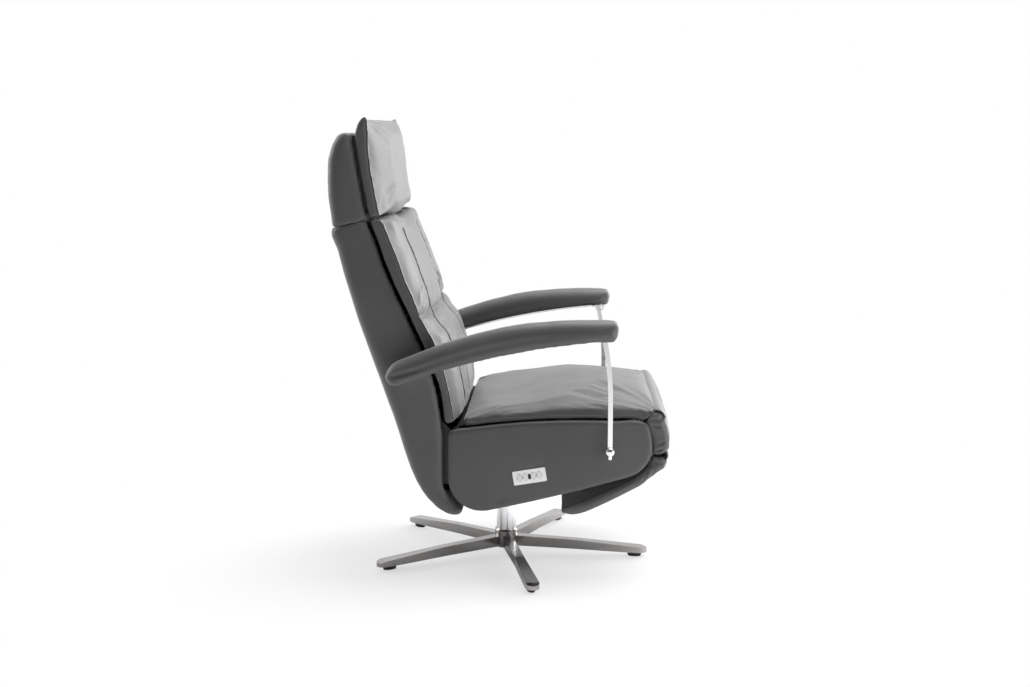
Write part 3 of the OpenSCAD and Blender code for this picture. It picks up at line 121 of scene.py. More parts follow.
sky.links.new(parts.outputs["Y"], strength.inputs["Value"])
sky.links.new(strength.outputs["Result"], sky_light.inputs["Strength"])
sky.links.new(paths.outputs["Is Camera Ray"], seen.inputs["Fac"])
sky.links.new(sky_light.outputs["Background"], seen.inputs[1])
sky.links.new(white.outputs["Background"], seen.inputs[2])
sky.links.new(seen.outputs["Shader"], sky.nodes["World Output"].inputs["Surface"])

SHADOW_SHARE = 0.40
SHADOW_FADE = (0.35, 1.25)
bpy.ops.mesh.primitive_plane_add(size=60, location=(0, 0, -0.0005))
floor = bpy.context.object
floor.name = "floor"
floor_paint = bpy.data.materials.new("floor")
floor_paint.use_nodes = True
paint = floor_paint.node_tree
paint.nodes["Principled BSDF"].inputs["Base Color"].default_value = (0.84, 0.84, 0.845, 1)
paint.nodes["Principled BSDF"].inputs["Roughness"].default_value = 0.8
glow = paint.nodes.new("ShaderNodeEmission")
glow.inputs["Color"].default_value = WALL_WHITE
lit = paint.nodes.new("ShaderNodeMixShader")
place = paint.nodes.new("ShaderNodeTexCoord")
reach = paint.nodes.new("ShaderNodeVectorMath")
reach.operation = "LENGTH"
fade = paint.nodes.new("ShaderNodeMapRange")
fade.interpolation_type = "SMOOTHSTEP"
fade.inputs["From Min"].default_value = SHADOW_FADE[0]
fade.inputs["From Max"].default_value = SHADOW_FADE[1]
fade.inputs["To Min"].default_value = 1 - SHADOW_SHARE
fade.inputs["To Max"].default_value = 1
share = paint.nodes.new("ShaderNodeMath")
share.operation = "MULTIPLY"
floor_paths = paint.nodes.new("ShaderNodeLightPath")
looked_at = paint.nodes.new("ShaderNodeMath")
looked_at.operation = "MAXIMUM"
paint.links.new(place.outputs["Object"], reach.inputs[0])
paint.links.new(reach.outputs["Value"], fade.inputs["Value"])
paint.links.new(floor_paths.outputs["Is Camera Ray"], looked_at.inputs[0])
paint.links.new(floor_paths.outputs["Is Transmission Ray"], looked_at.inputs[1])
paint.links.new(looked_at.outputs["Value"], share.inputs[0])
paint.links.new(fade.outputs["Result"], share.inputs[1])
paint.links.new(share.outputs["Value"], lit.inputs["Fac"])
paint.links.new(paint.nodes["Principled BSDF"].outputs["BSDF"], lit.inputs[1])
paint.links.new(glow.outputs["Emission"], lit.inputs[2])
paint.links.new(lit.outputs["Shader"], paint.nodes["Material Output"].inputs["Surface"])
floor.data.materials.append(floor_paint)
floor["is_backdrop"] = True


# Star base and column: one polished casting with five flat arms, and a chromed column round the swivel.
# They are the CAD's own solids. The polish is a little uneven and carries fine lines along the arms.
def finish(name, colour, rough, metallic=0.0, spread=0.06, scale=40, relief=0.0, stretch=(1, 1, 1)):
    material = bpy.data.materials.new(name)
    material.use_nodes = True
    nodes, links = material.node_tree.nodes, material.node_tree.links
    shader = nodes["Principled BSDF"]
    shader.inputs["Metallic"].default_value = metallic
    place = nodes.new("ShaderNodeTexCoord")
    laid = nodes.new("ShaderNodeMapping")
    laid.inputs["Scale"].default_value = stretch
    cloud = nodes.new("ShaderNodeTexNoise")
    cloud.inputs["Scale"].default_value = scale
    cloud.inputs["Detail"].default_value = 5
    tone = nodes.new("ShaderNodeValToRGB")
    tone.color_ramp.elements[0].position = 0.3
    tone.color_ramp.elements[1].position = 0.7
    tone.color_ramp.elements[0].color = (*[c * (1 - spread) for c in colour], 1)
    tone.color_ramp.elements[1].color = (*[min(1, c * (1 + spread)) for c in colour], 1)
    gloss = nodes.new("ShaderNodeMapRange")
    gloss.inputs["From Min"].default_value = 0.3
    gloss.inputs["From Max"].default_value = 0.7
    gloss.inputs["To Min"].default_value = rough * 0.85
    gloss.inputs["To Max"].default_value = rough * 1.15
    links.new(place.outputs["Object"], laid.inputs["Vector"])
    links.new(laid.outputs["Vector"], cloud.inputs["Vector"])
    links.new(cloud.outputs["Fac"], tone.inputs["Fac"])
    links.new(tone.outputs["Color"], shader.inputs["Base Color"])
    links.new(cloud.outputs["Fac"], gloss.inputs["Value"])
    links.new(gloss.outputs["Result"], shader.inputs["Roughness"])
    if relief:
        bump = nodes.new("ShaderNodeBump")
        bump.inputs["Strength"].default_value = 0.5
        bump.inputs["Distance"].default_value = relief
        links.new(cloud.outputs["Fac"], bump.inputs["Height"])
        links.new(bump.outputs["Normal"], shader.inputs["Normal"])
    return material


def finish_nodes(material, *nodes):
    for node in nodes:
        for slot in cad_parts[node].material_slots:
            slot.material = material


polished_base = finish("polished_base", (0.40, 0.385, 0.375), 0.2, 1.0, 0.10, 9, 0.00006, (1, 1, 6))
chrome = finish("chrome", (0.93, 0.93, 0.94), 0.16, 1.0, 0.02, 60)
finish_nodes(polished_base, "star_base")
finish_nodes(chrome, "column_tube")


# Glides: small moulded pads of black plastic, pressed into the underside of each arm's tip.
# They are turned like the arms, with rounded ends and a slight taper to the floor.
def only(piece):
    bpy.ops.object.select_all(action="DESELECT")
    piece.select_set(True)
    bpy.context.view_layer.objects.active = piece


def modified(piece, kind, **settings):
    only(piece)
    bpy.ops.object.modifier_add(type=kind)
    modifier = piece.modifiers[-1]
    for key, value in settings.items():
        setattr(modifier, key, value)
    bpy.ops.object.modifier_apply(modifier=modifier.name)


glide_black = finish("glide_black", (0.03, 0.03, 0.032), 0.5, 0.0, 0.2, 900, 0.0001)
GLIDE_LONG = 0.038
GLIDE_WIDE = 0.022
GLIDE_TALL = 0.0115
GLIDE_TAPER = 0.86
STAR_ARMS = 5
TURN_BETWEEN_ARMS = 20
corners = np.array([list(v.co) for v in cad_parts["glides"].data.vertices])
turns = np.degrees(np.arctan2(corners[:, 1], corners[:, 0])) % 360
order = np.argsort(turns)
splits = np.nonzero(np.diff(turns[order]) > TURN_BETWEEN_ARMS)[0] + 1
groups = np.split(order, splits)
if len(groups) > STAR_ARMS:
    groups = [np.concatenate((groups[0], groups[-1]))] + groups[1:-1]
for number, group in enumerate(groups, 1):
    middle = (corners[group].min(0) + corners[group].max(0)) / 2
    outward = math.atan2(middle[1], middle[0])
    bpy.ops.object.select_all(action="DESELECT")
    bpy.ops.mesh.primitive_cylinder_add(
        vertices=40, radius=0.5, depth=GLIDE_TALL, end_fill_type="NGON",
        location=(middle[0], middle[1], GLIDE_TALL / 2), rotation=(0, 0, outward), scale=(GLIDE_LONG, GLIDE_WIDE, 1))
    glide = bpy.context.object
    glide.name = f"glide_{number}"
    bpy.ops.object.transform_apply(location=True, rotation=True, scale=True)
    for point in glide.data.vertices:
        if point.co.z < 0.001:
            point.co.x = middle[0] + (point.co.x - middle[0]) * GLIDE_TAPER
            point.co.y = middle[1] + (point.co.y - middle[1]) * GLIDE_TAPER
    modified(glide, "BEVEL", width=0.0012, segments=3)
    bpy.ops.object.shade_smooth_by_angle(angle=0.6)
    glide.data.materials.append(glide_black)
    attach(glide, "base")
    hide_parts("glides")


# Frame, drives and hinges inside the chair: plywood coloured near-black as painted shade for the gaps, zinc-plated
# steel, black-painted steel that is also kept dark as painted shade for the gaps, black motors.
# They are the CAD's own solids and show only in the gaps, or where a joint opens the chair.
zinc = finish("zinc", (0.45, 0.46, 0.48), 0.38, 1.0, 0.18, 130)
# Black paint on the brackets and cross bars, kept this dark also as painted shade for the strip seen in the gap.
black_steel_gap_shade = finish("black_steel_gap_shade", (0.02, 0.02, 0.021), 0.5, 0.0, 0.2, 300, 0.0001)
# Plywood colour: near-black painted shade, so the boards seen in the gaps read as shade.
shade_black_plywood = finish("shade_black_plywood", (0.022, 0.018, 0.016), 0.75, 0.0, 0.45, 70, 0.0004, (1, 1, 9))
motor_black = finish("motor_black", (0.03, 0.03, 0.033), 0.45, 0.0, 0.2, 700, 0.0001)
lining = finish("lining", (0.018, 0.018, 0.019), 0.95, 0.0, 0.5, 1100, 0.0005)
finish_nodes(zinc, "thrust_bearing", "swivel_spindle", "swivel_plate", "swivel_beams", "seat_springs",
             "leg_hinge_top_leaves", "leg_hinge_top_pins", "recline_rod", "leg_rod", "recline_shaft",
             "back_springs", "arm_bolts", "head_hinge_lower", "headrest_frame", "calf_leaves", "leg_lever",
             "foot_pins", "foot_leaves")
finish_nodes(black_steel_gap_shade, "recline_brackets", "back_cross_bars")
finish_nodes(shade_black_plywood, "seat_rail_left", "seat_rail_right", "seat_cross_rails", "nose_board", "back_boards",
             "headrest_board")
finish_nodes(motor_black, "recline_drive", "leg_drive", "control_box", "keypad_housing")
finish_nodes(lining, "seat_deck", "bottom_cover")


# Side panels of the seat box: boards padded with thin foam and covered with fine-grained graphite leather.
# Each is the CAD's panel with soft edges; the pockets behind the keypad are closed, and the leather swells a little.
def merged_copy(node, name):
    piece = bpy.data.objects.new(name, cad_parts[node].data.copy())
    bpy.context.collection.objects.link(piece)
    only(piece)
    bpy.ops.object.mode_set(mode="EDIT")
    bpy.ops.mesh.select_all(action="SELECT")
    bpy.ops.mesh.remove_doubles(threshold=0.00001)
    bpy.ops.object.mode_set(mode="OBJECT")
    return piece


def padded_over(piece, voxel, rounds):
    modified(piece, "REMESH", mode="VOXEL", voxel_size=voxel, adaptivity=0.0)
    modified(piece, "SMOOTH", factor=0.5, iterations=rounds)
    return piece


def points_of(piece):
    flat = np.empty(len(piece.data.vertices) * 3)
    piece.data.vertices.foreach_get("co", flat)
    return flat.reshape(-1, 3)


def normals_of(piece):
    flat = np.empty(len(piece.data.vertices) * 3)
    piece.data.vertices.foreach_get("normal", flat)
    return flat.reshape(-1, 3)


def place_points(piece, points):
    piece.data.vertices.foreach_set("co", points.ravel())
    piece.data.update()


def bell(distance, width):
    return np.exp(-((distance / width) ** 2))


def pushed(points, line, shift, reach):
    weight = bell(np.hypot(points[:, 0] - line[0], points[:, 2] - line[1]), reach)
    points[:, 0] += shift[0] * weight
    points[:, 2] += shift[1] * weight


def leather_of(name, colour, rough):
    material = finish(name, colour, rough, 0.0, 0.09, 6)
    nodes, links = material.node_tree.nodes, material.node_tree.links
    shader = nodes["Principled BSDF"]
    shader.inputs["Sheen Weight"].default_value = 0.35
    shader.inputs["Specular IOR Level"].default_value = 0.45
    shader.inputs["Sheen Roughness"].default_value = 0.4
    place = nodes["Texture Coordinate"]
    grain = nodes.new("ShaderNodeTexVoronoi")
    grain.inputs["Scale"].default_value = 560
    crumple = nodes.new("ShaderNodeTexNoise")
    crumple.inputs["Scale"].default_value = 34
    crumple.inputs["Detail"].default_value = 6
    crumple.inputs["Roughness"].default_value = 0.62
    soft = nodes.new("ShaderNodeBump")
    soft.inputs["Strength"].default_value = 0.35
    soft.inputs["Distance"].default_value = 0.0016
    fine = nodes.new("ShaderNodeBump")
    fine.inputs["Strength"].default_value = 0.3
    fine.inputs["Distance"].default_value = 0.0005
    links.new(place.outputs["Object"], grain.inputs["Vector"])
    links.new(place.outputs["Object"], crumple.inputs["Vector"])
    links.new(crumple.outputs["Fac"], soft.inputs["Height"])
    links.new(grain.outputs["Distance"], fine.inputs["Height"])
    links.new(soft.outputs["Normal"], fine.inputs["Normal"])
    links.new(fine.outputs["Normal"], shader.inputs["Normal"])
    return material


def dressed(piece, material, body, *nodes):
    only(piece)
    bpy.ops.object.shade_smooth()
    piece.data.materials.clear()
    piece.data.materials.append(material)
    if body:
        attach(piece, body)
    if nodes:
        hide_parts(*nodes)


GRAPHITE = (0.078, 0.0735, 0.075)
graphite = leather_of("graphite_leather", GRAPHITE, 0.44)
PANEL_SWELL = 0.0022
PANEL_NOSE = (((0.328, 0.384), (0.012, 0.012), 0.036), ((0.348, 0.325), (0.004, 0.0), 0.035))
POCKET_MARGIN = 0.006
POCKET_DEEP = 0.014
BACKING_PLACE = (0.03, 0.2815, 0.232)
BACKING_SIZE = (0.09, 0.0165, 0.030)
for side, sign in (("left", 1), ("right", -1)):
    panel = merged_copy(f"side_panel_{side}", f"panel_leather_{side}")
    if side == "right":
        low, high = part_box("keypad_housing")
        only(panel)
        bpy.ops.object.mode_set(mode="EDIT")
        bpy.ops.mesh.select_all(action="DESELECT")
        bpy.ops.mesh.primitive_cube_add(
            size=1, location=[(a + b) / 2 for a, b in zip(low, high)],
            scale=(high[0] - low[0] + POCKET_MARGIN, POCKET_DEEP, high[2] - low[2] + POCKET_MARGIN))
        bpy.ops.object.mode_set(mode="OBJECT")
    only(panel)
    bpy.ops.object.mode_set(mode="EDIT")
    bpy.ops.mesh.select_all(action="DESELECT")
    bpy.ops.mesh.primitive_cube_add(
        size=1, location=(BACKING_PLACE[0], sign * BACKING_PLACE[1], BACKING_PLACE[2]), scale=BACKING_SIZE)
    bpy.ops.object.mode_set(mode="OBJECT")
    padded_over(panel, 0.0045, 6)
    spots = points_of(panel)
    for line, shift, reach in PANEL_NOSE:
        pushed(spots, line, shift, reach)
    outer = np.clip((spots[:, 1] * sign - 0.284) / 0.004, 0, 1)
    middle = bell(spots[:, 0] - 0.11, 0.17) * bell(spots[:, 2] - 0.3, 0.08)
    spots[:, 1] += sign * PANEL_SWELL * outer * middle
    place_points(panel, spots)
    dressed(panel, graphite, "seat", f"side_panel_{side}")


# Seat cushion: a deep foam block under soft leather, crowned over the seat and rolled over at both sides.
# The leather is blown up a little in a cloth simulation, stays flat on the deck and wrinkles at the front corners.
CLOTH_PRESSURE = 4.0
CLOTH_FRAMES = 20
SEAT_PUSHES = (((0.352, 0.438), (0.009, 0.003), 0.024), ((-0.078, 0.425), (-0.018, 0.002), 0.028),
               ((-0.088, 0.462), (0.0, -0.015), 0.042))
SEAT_FOLDS = (
    ([(0.352, 0.286, 0.408), (0.343, 0.283, 0.424), (0.331, 0.272, 0.436)], 0.0040, 0.0030),
    ([(0.335, 0.287, 0.408), (0.326, 0.283, 0.424)], 0.0035, 0.0016),
    ([(0.362, 0.280, 0.420), (0.352, 0.262, 0.436), (0.345, 0.235, 0.446)], 0.0045, 0.0022))


def swollen(piece, held, shrink, cap):
    rest = points_of(piece)
    start = rest - normals_of(piece) * (shrink * (1 - held))[:, None]
    place_points(piece, start)
    group = piece.vertex_groups.new(name="held")
    group.add([int(i) for i in np.nonzero(held > 0.5)[0]], 1.0, "REPLACE")
    only(piece)
    bpy.ops.object.modifier_add(type="CLOTH")
    cloth = piece.modifiers[-1]
    cloth.settings.quality = 4
    cloth.settings.mass = 0.3
    cloth.settings.tension_stiffness = 12
    cloth.settings.compression_stiffness = 12
    cloth.settings.shear_stiffness = 6
    cloth.settings.bending_stiffness = 0.4
    cloth.settings.use_pressure = True
    cloth.settings.uniform_pressure_force = CLOTH_PRESSURE
    cloth.settings.effector_weights.gravity = 0
    cloth.settings.vertex_group_mass = "held"
    cloth.point_cache.frame_start = 1
    cloth.point_cache.frame_end = CLOTH_FRAMES
    for step in range(1, CLOTH_FRAMES + 1):
        scene.frame_set(step)
    blown = piece.evaluated_get(bpy.context.evaluated_depsgraph_get())
    flat = np.empty(len(rest) * 3)
    blown.data.vertices.foreach_get("co", flat)
    shift = flat.reshape(-1, 3) - start
    far = np.linalg.norm(shift, axis=1)
    shift *= np.minimum(1, cap / np.maximum(far, 1e-9))[:, None]
    piece.modifiers.remove(cloth)
    piece.vertex_groups.remove(piece.vertex_groups["held"])
    scene.frame_set(1)
    place_points(piece, start + shift)


def distance_to(points, path):
    nearest = np.full(len(points), 9.0)
    for start, end in zip(path[:-1], path[1:]):
        start, along = np.array(start), np.array(end) - np.array(start)
        share = np.clip((points - start) @ along / (along @ along), 0, 1)
        nearest = np.minimum(nearest, np.linalg.norm(points - start - share[:, None] * along, axis=1))
    return nearest


def creased(points, facing, path, width, depth, shoulder=0.35):
    away = distance_to(points, path)
    points -= facing * (depth * (bell(away, width) - shoulder * bell(away - 2.4 * width, width)))[:, None]


def both_sides(path):
    return [[(x, y * sign, z) for x, y, z in path] for sign in (1, -1)]


def handled(points, facing, depth, scale, seed):
    swell = [noise.noise(Vector((x * scale + seed, y * scale * 0.8, z * scale))) for x, y, z in points]
    points += facing * (depth * np.array(swell))[:, None]


seat = padded_over(merged_copy("seat_cushion", "seat_cushion_leather"), 0.006, 8)
spots = points_of(seat)
for line, shift, reach in SEAT_PUSHES:
    pushed(spots, line, shift, reach)
rim = np.clip((np.abs(spots[:, 1]) - 0.225) / 0.04, 0, 1)
spots[:, 0] += 0.005 * rim * bell(np.hypot(spots[:, 0] - 0.352, spots[:, 2] - 0.425), 0.022)
spots[:, 2] += 0.011 * rim * bell(spots[:, 0] - 0.335, 0.045) * np.clip((0.430 - spots[:, 2]) / 0.02, 0, 1)
plan = np.clip((np.abs(spots[:, 1]) - 0.225) / 0.055, 0, 1) ** 2
spots[:, 0] -= 0.010 * plan * bell(spots[:, 0] - 0.350, 0.035) * np.clip((spots[:, 2] - 0.425) / 0.02, 0, 1)
top = np.clip(normals_of(seat)[:, 2] * 2 - 0.6, 0, 1)
spots[:, 2] -= 0.004 * top * (1 - np.clip(np.abs(spots[:, 1]) / 0.27, 0, 1) ** 4)
place_points(seat, spots)
facing = normals_of(seat)
swollen(seat, (facing[:, 2] < -0.2).astype(float), 0.004, 0.006)
modified(seat, "SUBSURF", levels=1, render_levels=1)
spots, facing = points_of(seat), normals_of(seat)
handled(spots, facing, 0.0012, 16, 3.1)
for path, width, depth in SEAT_FOLDS:
    for way in both_sides(path):
        creased(spots, facing, way, width, depth)
place_points(seat, spots)
dressed(seat, graphite, "seat", "seat_cushion")


# Back shell and headrest shell: a padded leather cover stretched over the frame from the sides and the rear.
# They are the CAD's hollow solids with softened edges, and their rims meet in one fine seam.
RIM_CLOSING = 0.0032
shell = padded_over(merged_copy("back_shell", "back_shell_leather"), 0.0055, 5)
spots = points_of(shell)
spots[:, 2] += RIM_CLOSING * np.clip((spots[:, 2] - 0.828) / 0.02, 0, 1)
place_points(shell, spots)
dressed(shell, graphite, "back", "back_shell")
head_shell = padded_over(merged_copy("headrest_shell", "headrest_shell_leather"), 0.0055, 5)
spots = points_of(head_shell)
spots[:, 2] -= RIM_CLOSING * np.clip((0.885 - spots[:, 2]) / 0.02, 0, 1)
place_points(head_shell, spots)
dressed(head_shell, graphite, "headrest", "headrest_shell")


# Gusset between the two shells: a folded band of leather, coloured near-black as painted shade for the gap, sewn
# inside both rims.
# It closes the gap while the headrest is down.
GUSSET_FOLDS = (
    (-0.046, 0.0), (-0.030, 0.0), (-0.018, 0.004), (-0.006, 0.0), (0.006, 0.004), (0.018, 0.0), (0.030, 0.0))
GUSSET_PLAN = (
    (-0.316, 0.268), (-0.316, 0.135), (-0.316, 0.0), (-0.316, -0.135), (-0.316, -0.268), (-0.335, -0.268),
    (-0.352, -0.266), (-0.366, -0.254), (-0.374, -0.235), (-0.375, -0.12), (-0.375, 0.0), (-0.375, 0.12),
    (-0.374, 0.235), (-0.366, 0.254), (-0.352, 0.266), (-0.335, 0.268))


def band(name, rings, thickness, closed=True):
    count = len(rings[0])
    mesh = bpy.data.meshes.new(name)
    faces = []
    for row in range(len(rings) - 1):
        for k in range(count if closed else count - 1):
            a, b = row * count + k, row * count + (k + 1) % count
            faces.append((a, b, b + count, a + count))
    mesh.from_pydata([point for ring in rings for point in ring], [], faces)
    piece = bpy.data.objects.new(name, mesh)
    bpy.context.collection.objects.link(piece)
    only(piece)
    bpy.ops.object.mode_set(mode="EDIT")
    bpy.ops.mesh.select_all(action="SELECT")
    bpy.ops.mesh.normals_make_consistent(inside=False)
    bpy.ops.object.mode_set(mode="OBJECT")
    modified(piece, "SOLIDIFY", thickness=thickness, offset=0)
    modified(piece, "SUBSURF", levels=1, render_levels=1)
    return piece


# Near-black colour: painted shade for the gap between the shells.
gusset_shade_black = leather_of("gusset_painted_shade", (0.02, 0.019, 0.02), 0.6)
rings = []
for lift, inset in GUSSET_FOLDS:
    ring = []
    for x, y in GUSSET_PLAN:
        rise = 0.872 + lift + 0.24 * (x + 0.316)
        ring.append(((x + 0.345) * (1 - inset * 8) - 0.345 - 0.18 * lift, y * (1 - inset), rise))
    rings.append(ring)
gusset = band("headrest_gusset", rings, 0.0018)
dressed(gusset, gusset_shade_black, None)
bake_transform(gusset)


# Back cushion: three upright panels sewn together, with a deep crease across the lumbar that dips at the seams,
# and a piped edge along a flat border at each side.
CHANNEL_Y = 0.150
LUMBAR_Z = 0.644
NECK_Z = 0.873
PIPING_Y = 0.2885
BORDER_Y = 0.284
BACK_PIPING = [
    (-0.2770, 0.868), (-0.2650, 0.844), (-0.2530, 0.814), (-0.2400, 0.784), (-0.2310, 0.756), (-0.2200, 0.723),
    (-0.2070, 0.696), (-0.1930, 0.660), (-0.1790, 0.630), (-0.1530, 0.581), (-0.1340, 0.520), (-0.1240, 0.478),
    (-0.1130, 0.423), (-0.1100, 0.398)]
BACK_FOLDS = (
    ([(-0.165, 0.270, 0.640), (-0.170, 0.215, 0.668), (-0.185, 0.170, 0.700)], 0.0045, 0.0042),
    ([(-0.160, 0.245, 0.632), (-0.158, 0.195, 0.652)], 0.0040, 0.0030),
    ([(-0.178, 0.262, 0.676), (-0.186, 0.226, 0.705)], 0.0045, 0.0032),
    ([(-0.120, 0.200, 0.560), (-0.105, 0.190, 0.500), (-0.098, 0.185, 0.440)], 0.0090, 0.0030),
    ([(-0.110, 0.090, 0.560), (-0.090, 0.085, 0.500), (-0.085, 0.080, 0.440)], 0.0100, 0.0030),
    ([(-0.115, 0.020, 0.580), (-0.095, 0.015, 0.520)], 0.0110, 0.0024),
    ([(-0.225, 0.240, 0.846), (-0.235, 0.190, 0.862)], 0.0045, 0.0022))


def rolled(points, piping, share, start):
    edge_x = np.interp(points[:, 2], [z for x, z in piping[::-1]], [x for x, z in piping[::-1]])
    ahead = np.clip(points[:, 0] - edge_x, 0, 0.05)
    turn = np.clip((np.abs(points[:, 1]) - start) / (PIPING_Y - start), 0, 1)
    points[:, 0] -= share * ahead * turn**1.5


def arched(points, level, middle_rise, side_drop, reach):
    across = np.abs(points[:, 1]) / CHANNEL_Y
    inside = middle_rise * (1 - across**2) - side_drop * across**2
    rise = np.where(across < 1, inside, -side_drop * bell(across - 1, 0.35))
    points[:, 2] += rise * bell(points[:, 2] - level, reach)


back = padded_over(merged_copy("back_cushion", "back_cushion_leather"), 0.006, 7)
spots = points_of(back)
pushed(spots, (-0.248, 0.860), (0.003, 0.013), 0.022)
rolled(spots, BACK_PIPING, 0.80, 0.250)
place_points(back, spots)
facing = normals_of(back)
from_middle = np.abs(spots[:, 1])
held = ((facing[:, 0] < -0.25) | (np.abs(from_middle - CHANNEL_Y) < 0.005) | (from_middle > BORDER_Y)).astype(float)
swollen(back, held, 0.004, 0.007)
modified(back, "SUBSURF", levels=1, render_levels=1)
spots, facing = points_of(back), normals_of(back)
handled(spots, facing, 0.0012, 15, 8.4)
front = np.clip(facing[:, 0] * 2, 0, 1)
spots -= facing * (0.0045 * bell(spots[:, 2] - LUMBAR_Z, 0.005) * front)[:, None]
spots += facing * (0.0020 * bell(spots[:, 2] - LUMBAR_Z - 0.016, 0.010) * front)[:, None]
spots -= facing * (0.0022 * bell(np.abs(spots[:, 1]) - CHANNEL_Y, 0.0032) * front)[:, None]
arched(spots, LUMBAR_Z, -0.006, 0.006, 0.05)
arched(spots, NECK_Z, -0.010, -0.003, 0.03)
facing = normals_of(back)
for path, width, depth in BACK_FOLDS:
    for way in both_sides(path):
        creased(spots, facing, way, width, depth)
for way in both_sides([(x, PIPING_Y, z) for x, z in BACK_PIPING]):
    creased(spots, facing, way, 0.0034, 0.0022, 0.1)
place_points(back, spots)
dressed(back, graphite, None, "back_cushion")
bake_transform(back)


# Piping and seams: a thin corded edge of the same leather, painted darker as shade in its folds, and lines of dark
# thread.
# Each line is drawn through a few places, drops onto the nearest leather and becomes a slim tube.
PIPING_RADIUS = 0.0014
THREAD_RADIUS = 0.0009
LINE_STEP = 0.006
SEAM_PATH = ((-0.215, 0.848), (-0.195, 0.790), (-0.168, 0.720), (-0.150, 0.660), (-0.120, 0.600), (-0.095, 0.540),
             (-0.080, 0.480), (-0.080, 0.425))


def filled_in(places):
    dense = []
    for start, end in zip(places[:-1], places[1:]):
        start, end = Vector(start), Vector(end)
        count = max(1, round((end - start).length / LINE_STEP))
        dense += [start.lerp(end, k / count) for k in range(count)]
    return dense + [Vector(places[-1])]


def line_on(name, piece, places, radius, material, body, sink):
    surface = BVHTree.FromObject(piece, bpy.context.evaluated_depsgraph_get())
    curve = bpy.data.curves.new(name, "CURVE")
    curve.dimensions = "3D"
    curve.bevel_depth = radius
    curve.bevel_resolution = 2
    curve.use_fill_caps = True
    dense = filled_in(places)
    spline = curve.splines.new("POLY")
    spline.points.add(len(dense) - 1)
    for point, place in zip(spline.points, dense):
        near, normal, _, _ = surface.find_nearest(place)
        point.co = (*(near + normal * radius * (1 - 2 * sink)), 1)
    line = bpy.data.objects.new(name, curve)
    bpy.context.collection.objects.link(line)
    only(line)
    bpy.ops.object.convert(target="MESH")
    dressed(bpy.context.object, material, body)
    return bpy.context.object


# Piping colour darker than the graphite: painted shade for the fold round the cord.
piping = leather_of("piping_painted_shade", (0.035, 0.033, 0.034), 0.4)
thread = finish("seam_thread", (0.018, 0.017, 0.018), 0.7, 0.0, 0.3, 1500, 0.0002)
for side, sign in (("left", 1), ("right", -1)):
    edge = [(x, sign * PIPING_Y, z) for x, z in BACK_PIPING]
    cord = line_on(f"back_piping_{side}", back, edge, PIPING_RADIUS, piping, None, 0.3)
    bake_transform(cord)
    channel = [(x, sign * CHANNEL_Y, z) for x, z in SEAM_PATH]
    seam = line_on(f"back_seam_{side}", back, channel, THREAD_RADIUS, thread, None, 0.45)
    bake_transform(seam)


# Headrest cushion: a boxed pad with a sharp piped corner at each top end and a soft crowned front.
# Its lower edge closes on the back cushion in one crease that dips a little in the middle.
HEAD_PIPING = [
    (-0.3040, 1.0950), (-0.3030, 1.0600), (-0.3030, 1.0250), (-0.2980, 0.9800), (-0.2860, 0.9120), (-0.2790, 0.8770)]
EAR_X, EAR_Z = -0.305, 1.094
EAR_OUT = 0.0015
EAR_UP = 0.0060
head = padded_over(merged_copy("headrest_cushion", "headrest_cushion_leather"), 0.005, 4)
spots = points_of(head)
pushed(spots, (-0.264, 0.886), (0.002, -0.008), 0.018)
rolled(spots, HEAD_PIPING, 0.85, 0.240)
place_points(head, spots)
facing = normals_of(head)
held = ((facing[:, 0] < -0.25) | (np.abs(spots[:, 1]) > BORDER_Y)).astype(float)
swollen(head, held, 0.003, 0.005)
modified(head, "SUBSURF", levels=1, render_levels=1)
spots, facing = points_of(head), normals_of(head)
handled(spots, facing, 0.0009, 14, 5.2)
arched(spots, NECK_Z, -0.010, -0.003, 0.03)
for way in both_sides([(x, PIPING_Y, z) for x, z in HEAD_PIPING]):
    creased(spots, facing, way, 0.0034, 0.0022, 0.1)
    corner = np.array((EAR_X, way[0][1], EAR_Z))
    ear = bell(np.linalg.norm(spots - corner, axis=1), 0.014)
    spots += ear[:, None] * np.array((0.0, math.copysign(EAR_OUT, way[0][1]), EAR_UP))
place_points(head, spots)
dressed(head, graphite, "headrest", "headrest_cushion")
for side, sign in (("left", 1), ("right", -1)):
    edge = [(x, sign * PIPING_Y, z) for x, z in HEAD_PIPING]
    line_on(f"headrest_piping_{side}", head, edge, PIPING_RADIUS, piping, "headrest", 0.3)


